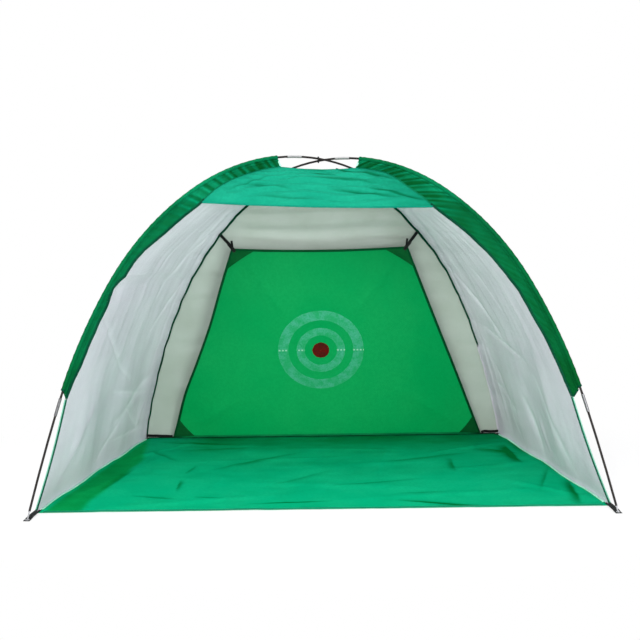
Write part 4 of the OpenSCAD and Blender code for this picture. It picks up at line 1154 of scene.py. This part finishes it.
def target_binding():
    count = 480
    turn = [4 * i / count for i in range(count)]
    verts, uvs, tones = [], [], []
    for u, along in zip(turn, lengths(np.array([outline(u, BINDING / 2) for u in turn]))):
        for k in range(ROUND):
            x, z = rounded(k, 0.7)
            q = outline(u, (1 + x) * BINDING / 2)
            verts.append(panel(q[0], q[1], 0.0006 + 0.0013 * z + 0.0003 * wob(along * 40, k * 0.2)))
            uvs.append((along, x * BINDING / 2))
            # painted shade: tone 1 along the foot, 0 on the sides and top
            tones.append(1 - smooth(abs(u - 0.5) * 20 - 9) if u < 1.5 else 0.0)
    return paint(finish_piece("target_panel_binding", verts, band_faces(count, True), uvs, panel_binding_mat,
                              "target_edge_binding", body="target"), tones)


def corner_patch(side, upper):
    """A three-cornered patch whose long edge dips a little."""
    inset, n = BINDING - 0.003, 22
    corner = inset_point(side, inset, TARGET_H - inset if upper else inset)
    one, two = np.array((-side * PATCH, 0.0)), (-PATCH if upper else PATCH) * side_edge(side)
    verts, uvs, index, faces = [], [], {}, []
    for i in range(n + 1):
        for j in range(n + 1 - i):
            a, b = i / n, j / n
            p = corner + (one * a + two * b) * (1 - 0.2 * a * b)
            index[i, j] = len(verts)
            verts.append(panel(p[0], p[1], 0.0017))
            uvs.append(p)
    for i in range(n):
        for j in range(n - i):
            faces.append((index[i, j], index[i + 1, j], index[i, j + 1]))
            if i + j < n - 1:
                faces.append((index[i + 1, j], index[i + 1, j + 1], index[i, j + 1]))
    return finish_piece("target_patch_%s_%s" % ("upper" if upper else "lower", WORD[side]), verts, faces, uvs,
                        patch_mat, "target_corner_patches", 0.0005, "target")


def ring(name, inner, outer, material, node, rough):
    """A printed ring whose two edges are a little uneven."""
    rows, columns = 7, 150
    verts, uvs = [], []
    for i in range(rows):
        for a in turns(columns):
            r = mix(inner, outer, i / (rows - 1))
            if i in (0, rows - 1):
                r += rough * wob(cos(a) * 9, sin(a) * 9, outer * 40 + i)
            x, height = r * cos(a), r * sin(a)
            verts.append(panel(x, RING_RISE + height, 0.0013))
            uvs.append((x, height))
    return finish_piece(name, verts, grid_faces(rows, columns, closed=True), uvs, material, node,
                        body="target")


PANEL_GRID = (120, 170)
panel_piece = paint(sheet("target_panel", over_grid(*PANEL_GRID, panel_point), target_mat,
                          "target_cloth", 0.0005, body="target"), over_grid(*PANEL_GRID, panel_tone))
target_trims = [target_binding(), *(corner_patch(side, upper) for side in SIDES for upper in (False, True)),
                ring("ring_outer", 0.140, 0.185, ring_mat, "target_rings", 0.0012),
                ring("ring_inner", 0.0695, 0.1045, ring_mat, "target_rings", 0.0012),
                ring("bullseye", 0.0004, 0.0365, bull_mat, "target_bullseye", 0.0022)]

# ---------------- webbing
TILT = radians(36)
HANGER_INSET, HANGER_SEWN, HANGER_HIGH, GRIP = 0.004, 0.018, 0.020, 0.0225
HANGER_BACK = CLOTH / 2 + 0.00355


def hanger_point(side, along, across, out):
    """A point beside the line in which an upper corner is pulled."""
    x = TARGET_HIGH / 2 - HANGER_INSET + along * sin(TILT) + side * across * cos(TILT)
    return on_target(side * x, TARGET_H + along * cos(TILT) - side * across * sin(TILT), out)


def hanger_loop(side):
    """Webbing sewn to both faces of the corner, which stands up as a loop."""
    route = [(mix(-HANGER_SEWN, HANGER_HIGH, u), -0.0018) for u in steps(25)]
    route += [(HANGER_HIGH + 0.0052 * sin(a), 0.0012 - 0.0030 * cos(a)) for a in steps(16, 0.15, 3.0)]
    route += [(mix(HANGER_HIGH, -HANGER_SEWN, u), mix(0.0042, 0.0030, u)) for u in steps(25)]
    return web("hanger_loop_" + WORD[side], [hanger_point(side, a, 0.0, o) for a, o in route],
               hanger_point(side, 0, 0.01, 0) - hanger_point(side, 0, 0, 0), WEB_WIDE, "target_hanger_tabs",
               body="target")


def hanger_end_piece(side):
    """The loose end of that webbing, which stands up from the corner."""
    path = [on_target(side * (TARGET_HIGH / 2 - 0.006 + 0.004 * u * u), TARGET_H + mix(-0.012, 0.034, u),
                      0.0028 + 0.003 * ease(u)) for u in steps(24)]
    return web("hanger_end_" + WORD[side], path, (1, 0.25, 0), 0.0095, body="target")


for side in SIDES:
    target_trims += [hanger_loop(side), hanger_end_piece(side)]

STRAP_IN = 0.028                                 # from the pole's axis to the strap's root on the seam


def past_hanger(s):
    """Whether s lies further up the back seam than the end of the right hanger."""
    a, b = back_beside(RIGHT, s - 0.001, STRAP_IN), back_beside(RIGHT, s + 0.001, STRAP_IN)
    return (hanger_point(RIGHT, GRIP, 0.0, -HANGER_BACK) - a) @ (b - a) <= 0


STRAP_S = halve(0.016, SEAM_HIGH, past_hanger)


def strap_top(side):
    word = WORD[side]
    root, end = back_beside(side, STRAP_S, STRAP_IN), hanger_point(side, GRIP, 0.0, -HANGER_BACK)
    x_axis = unit(end - root)
    in_target = unit(np.cross((0, -cos(TARGET_LEAN), -sin(TARGET_LEAN)), x_axis))
    line = unit(back_beside(side, STRAP_S + 0.001, STRAP_IN) - back_beside(side, STRAP_S - 0.001, STRAP_IN))
    middle = in_target + line * copysign(1, in_target @ line)
    y_axis = unit(middle - x_axis * (middle @ x_axis))
    z_axis = np.cross(x_axis, y_axis)
    z_axis *= -copysign(1, z_axis[1])       # towards the front
    size = float(np.linalg.norm(end - root))
    path = [root + x_axis * mix(0.0052, size + 0.002, u) + z_axis * 0.0010 * ease(u) for u in steps(40)]
    web("strap_upper_" + word, path, y_axis, WEB_WIDE, "strap_top_" + word, 0.0014, body="strap_" + word)
    loop = [root + x_axis * (0.0068 * cos(a) + 0.0004) + z_axis * 0.0046 * sin(a) for a in turns(36)]
    web("strap_seam_loop_" + word, loop, y_axis, WEB_WIDE, thick=0.0012, closed=True)


def strap_bottom(side):
    a = on_target(TARGET_SHIFT + side * (TARGET_LOW / 2 + 0.0003), 0.0, 0.00075) + (0, 0, 0.007)
    b = back_edge(side, 0) - (side * 0.003, 0.007, 0)
    b[2] = a[2]
    path, across = [], []
    for u in steps(60):
        p = mix(a, b, u) + (0, 0.0008 * sin(7 * u), 0.0015 * wob(u * 4, side))
        if side == RIGHT:
            p += np.array((0, -0.002, 0.004)) * hump(u, 0.28, 0.18)
        lean = 0.25 * sin(3 * u + side)
        path.append(p)
        across.append((0, sin(lean), cos(lean)))
    web("strap_lower_" + WORD[side], path, across, 0.0115, "strap_bottom_" + WORD[side], 0.0014)


for side in SIDES:
    strap_top(side)
    strap_bottom(side)

# a short tape round both poles where they cross
TIE_MIDDLE, TIE_R = np.array((0.0, 0.02919, 1.21711)), 0.0117
web("crossing_tie_band", [TIE_MIDDLE + (0, TIE_R * cos(a), TIE_R * sin(a)) for a in turns(48)],
    (1, 0, 0), 0.0060, "crossing_tie", closed=True)


# ---------------- floor, world and lamps
ground = bpy.data.meshes.new("studio_floor")
ground.from_pydata([(x, y, -0.0006) for x, y in ((-14, -14), (14, -14), (14, 14), (-14, 14))], [],
                   [(0, 1, 2, 3)])
ground_obj = bpy.data.objects.new("studio_floor", ground)
scene.collection.objects.link(ground_obj)
look = Look("studio_floor")                      # it takes shadows near the net and shows plain white far off
ground.materials.append(look.set(Base_Color=(0.93, 0.93, 0.93, 1), Roughness=0.9, Specular_IOR_Level=0.0))
gx, gy, _ = look.split(look.coords())
m = look.math
far = m("SQRT", m("MULTIPLY_ADD", gx, gx, m("MULTIPLY", m("MULTIPLY", gy, gy), 1.6)))
seen_white = m("MULTIPLY", look.ramp(far, 0.95, 1.6, 0.60, 1.0),
               add_node(look.tree, "LightPath").outputs["Is Camera Ray"])
white = add_node(look.tree, "Emission", (1, 1, 1, 1), 1.0)
both = add_node(look.tree, "MixShader", seen_white, look.shader.outputs[0], white.outputs[0])
surface = next(n for n in look.tree.nodes if n.type == "OUTPUT_MATERIAL").inputs[0]
feed(look.tree, surface, both.outputs[0])

world = bpy.data.worlds.new("world")
scene.world = world
world.use_nodes = True
tree = world.node_tree
tree.nodes.clear()
rays = add_node(tree, "LightPath").outputs
seen = rays["Is Camera Ray"]
for other in ("Is Glossy Ray", "Is Transmission Ray"):
    seen = add_node(tree, "Math", seen, rays[other], operation="MAXIMUM").outputs[0]
light = add_node(tree, "Background", (0.97, 0.985, 1.0, 1), 0.62)
shown = add_node(tree, "Background", (1, 1, 1, 1), 1.0)
both = add_node(tree, "MixShader", seen, light.outputs[0], shown.outputs[0])
add_node(tree, "OutputWorld", both.outputs[0])


def lamp(name, place, aim, size, power, color=(1, 1, 1)):
    data = bpy.data.lights.new(name, "AREA")
    data.shape, data.size, data.size_y = "RECTANGLE", size[0], size[1]
    data.energy, data.color = power, color
    obj = bpy.data.objects.new(name, data)
    obj.location = place
    obj.rotation_euler = (Vector(aim) - Vector(place)).to_track_quat("-Z", "Y").to_euler()
    scene.collection.objects.link(obj)


lamp("key", (-1.6, -4.4, 2.7), (0, 0, 0.45), (2.4, 2.0), 172, (1.0, 0.99, 0.97))
lamp("fill", (2.4, -4.4, 1.1), (0, 0, 0.5), (2.6, 1.8), 128, (0.98, 0.99, 1.0))
lamp("top", (0, 0.2, 4.0), (0, 0, 0), (3.0, 2.4), 50)
scene.view_settings.view_transform = "Standard"
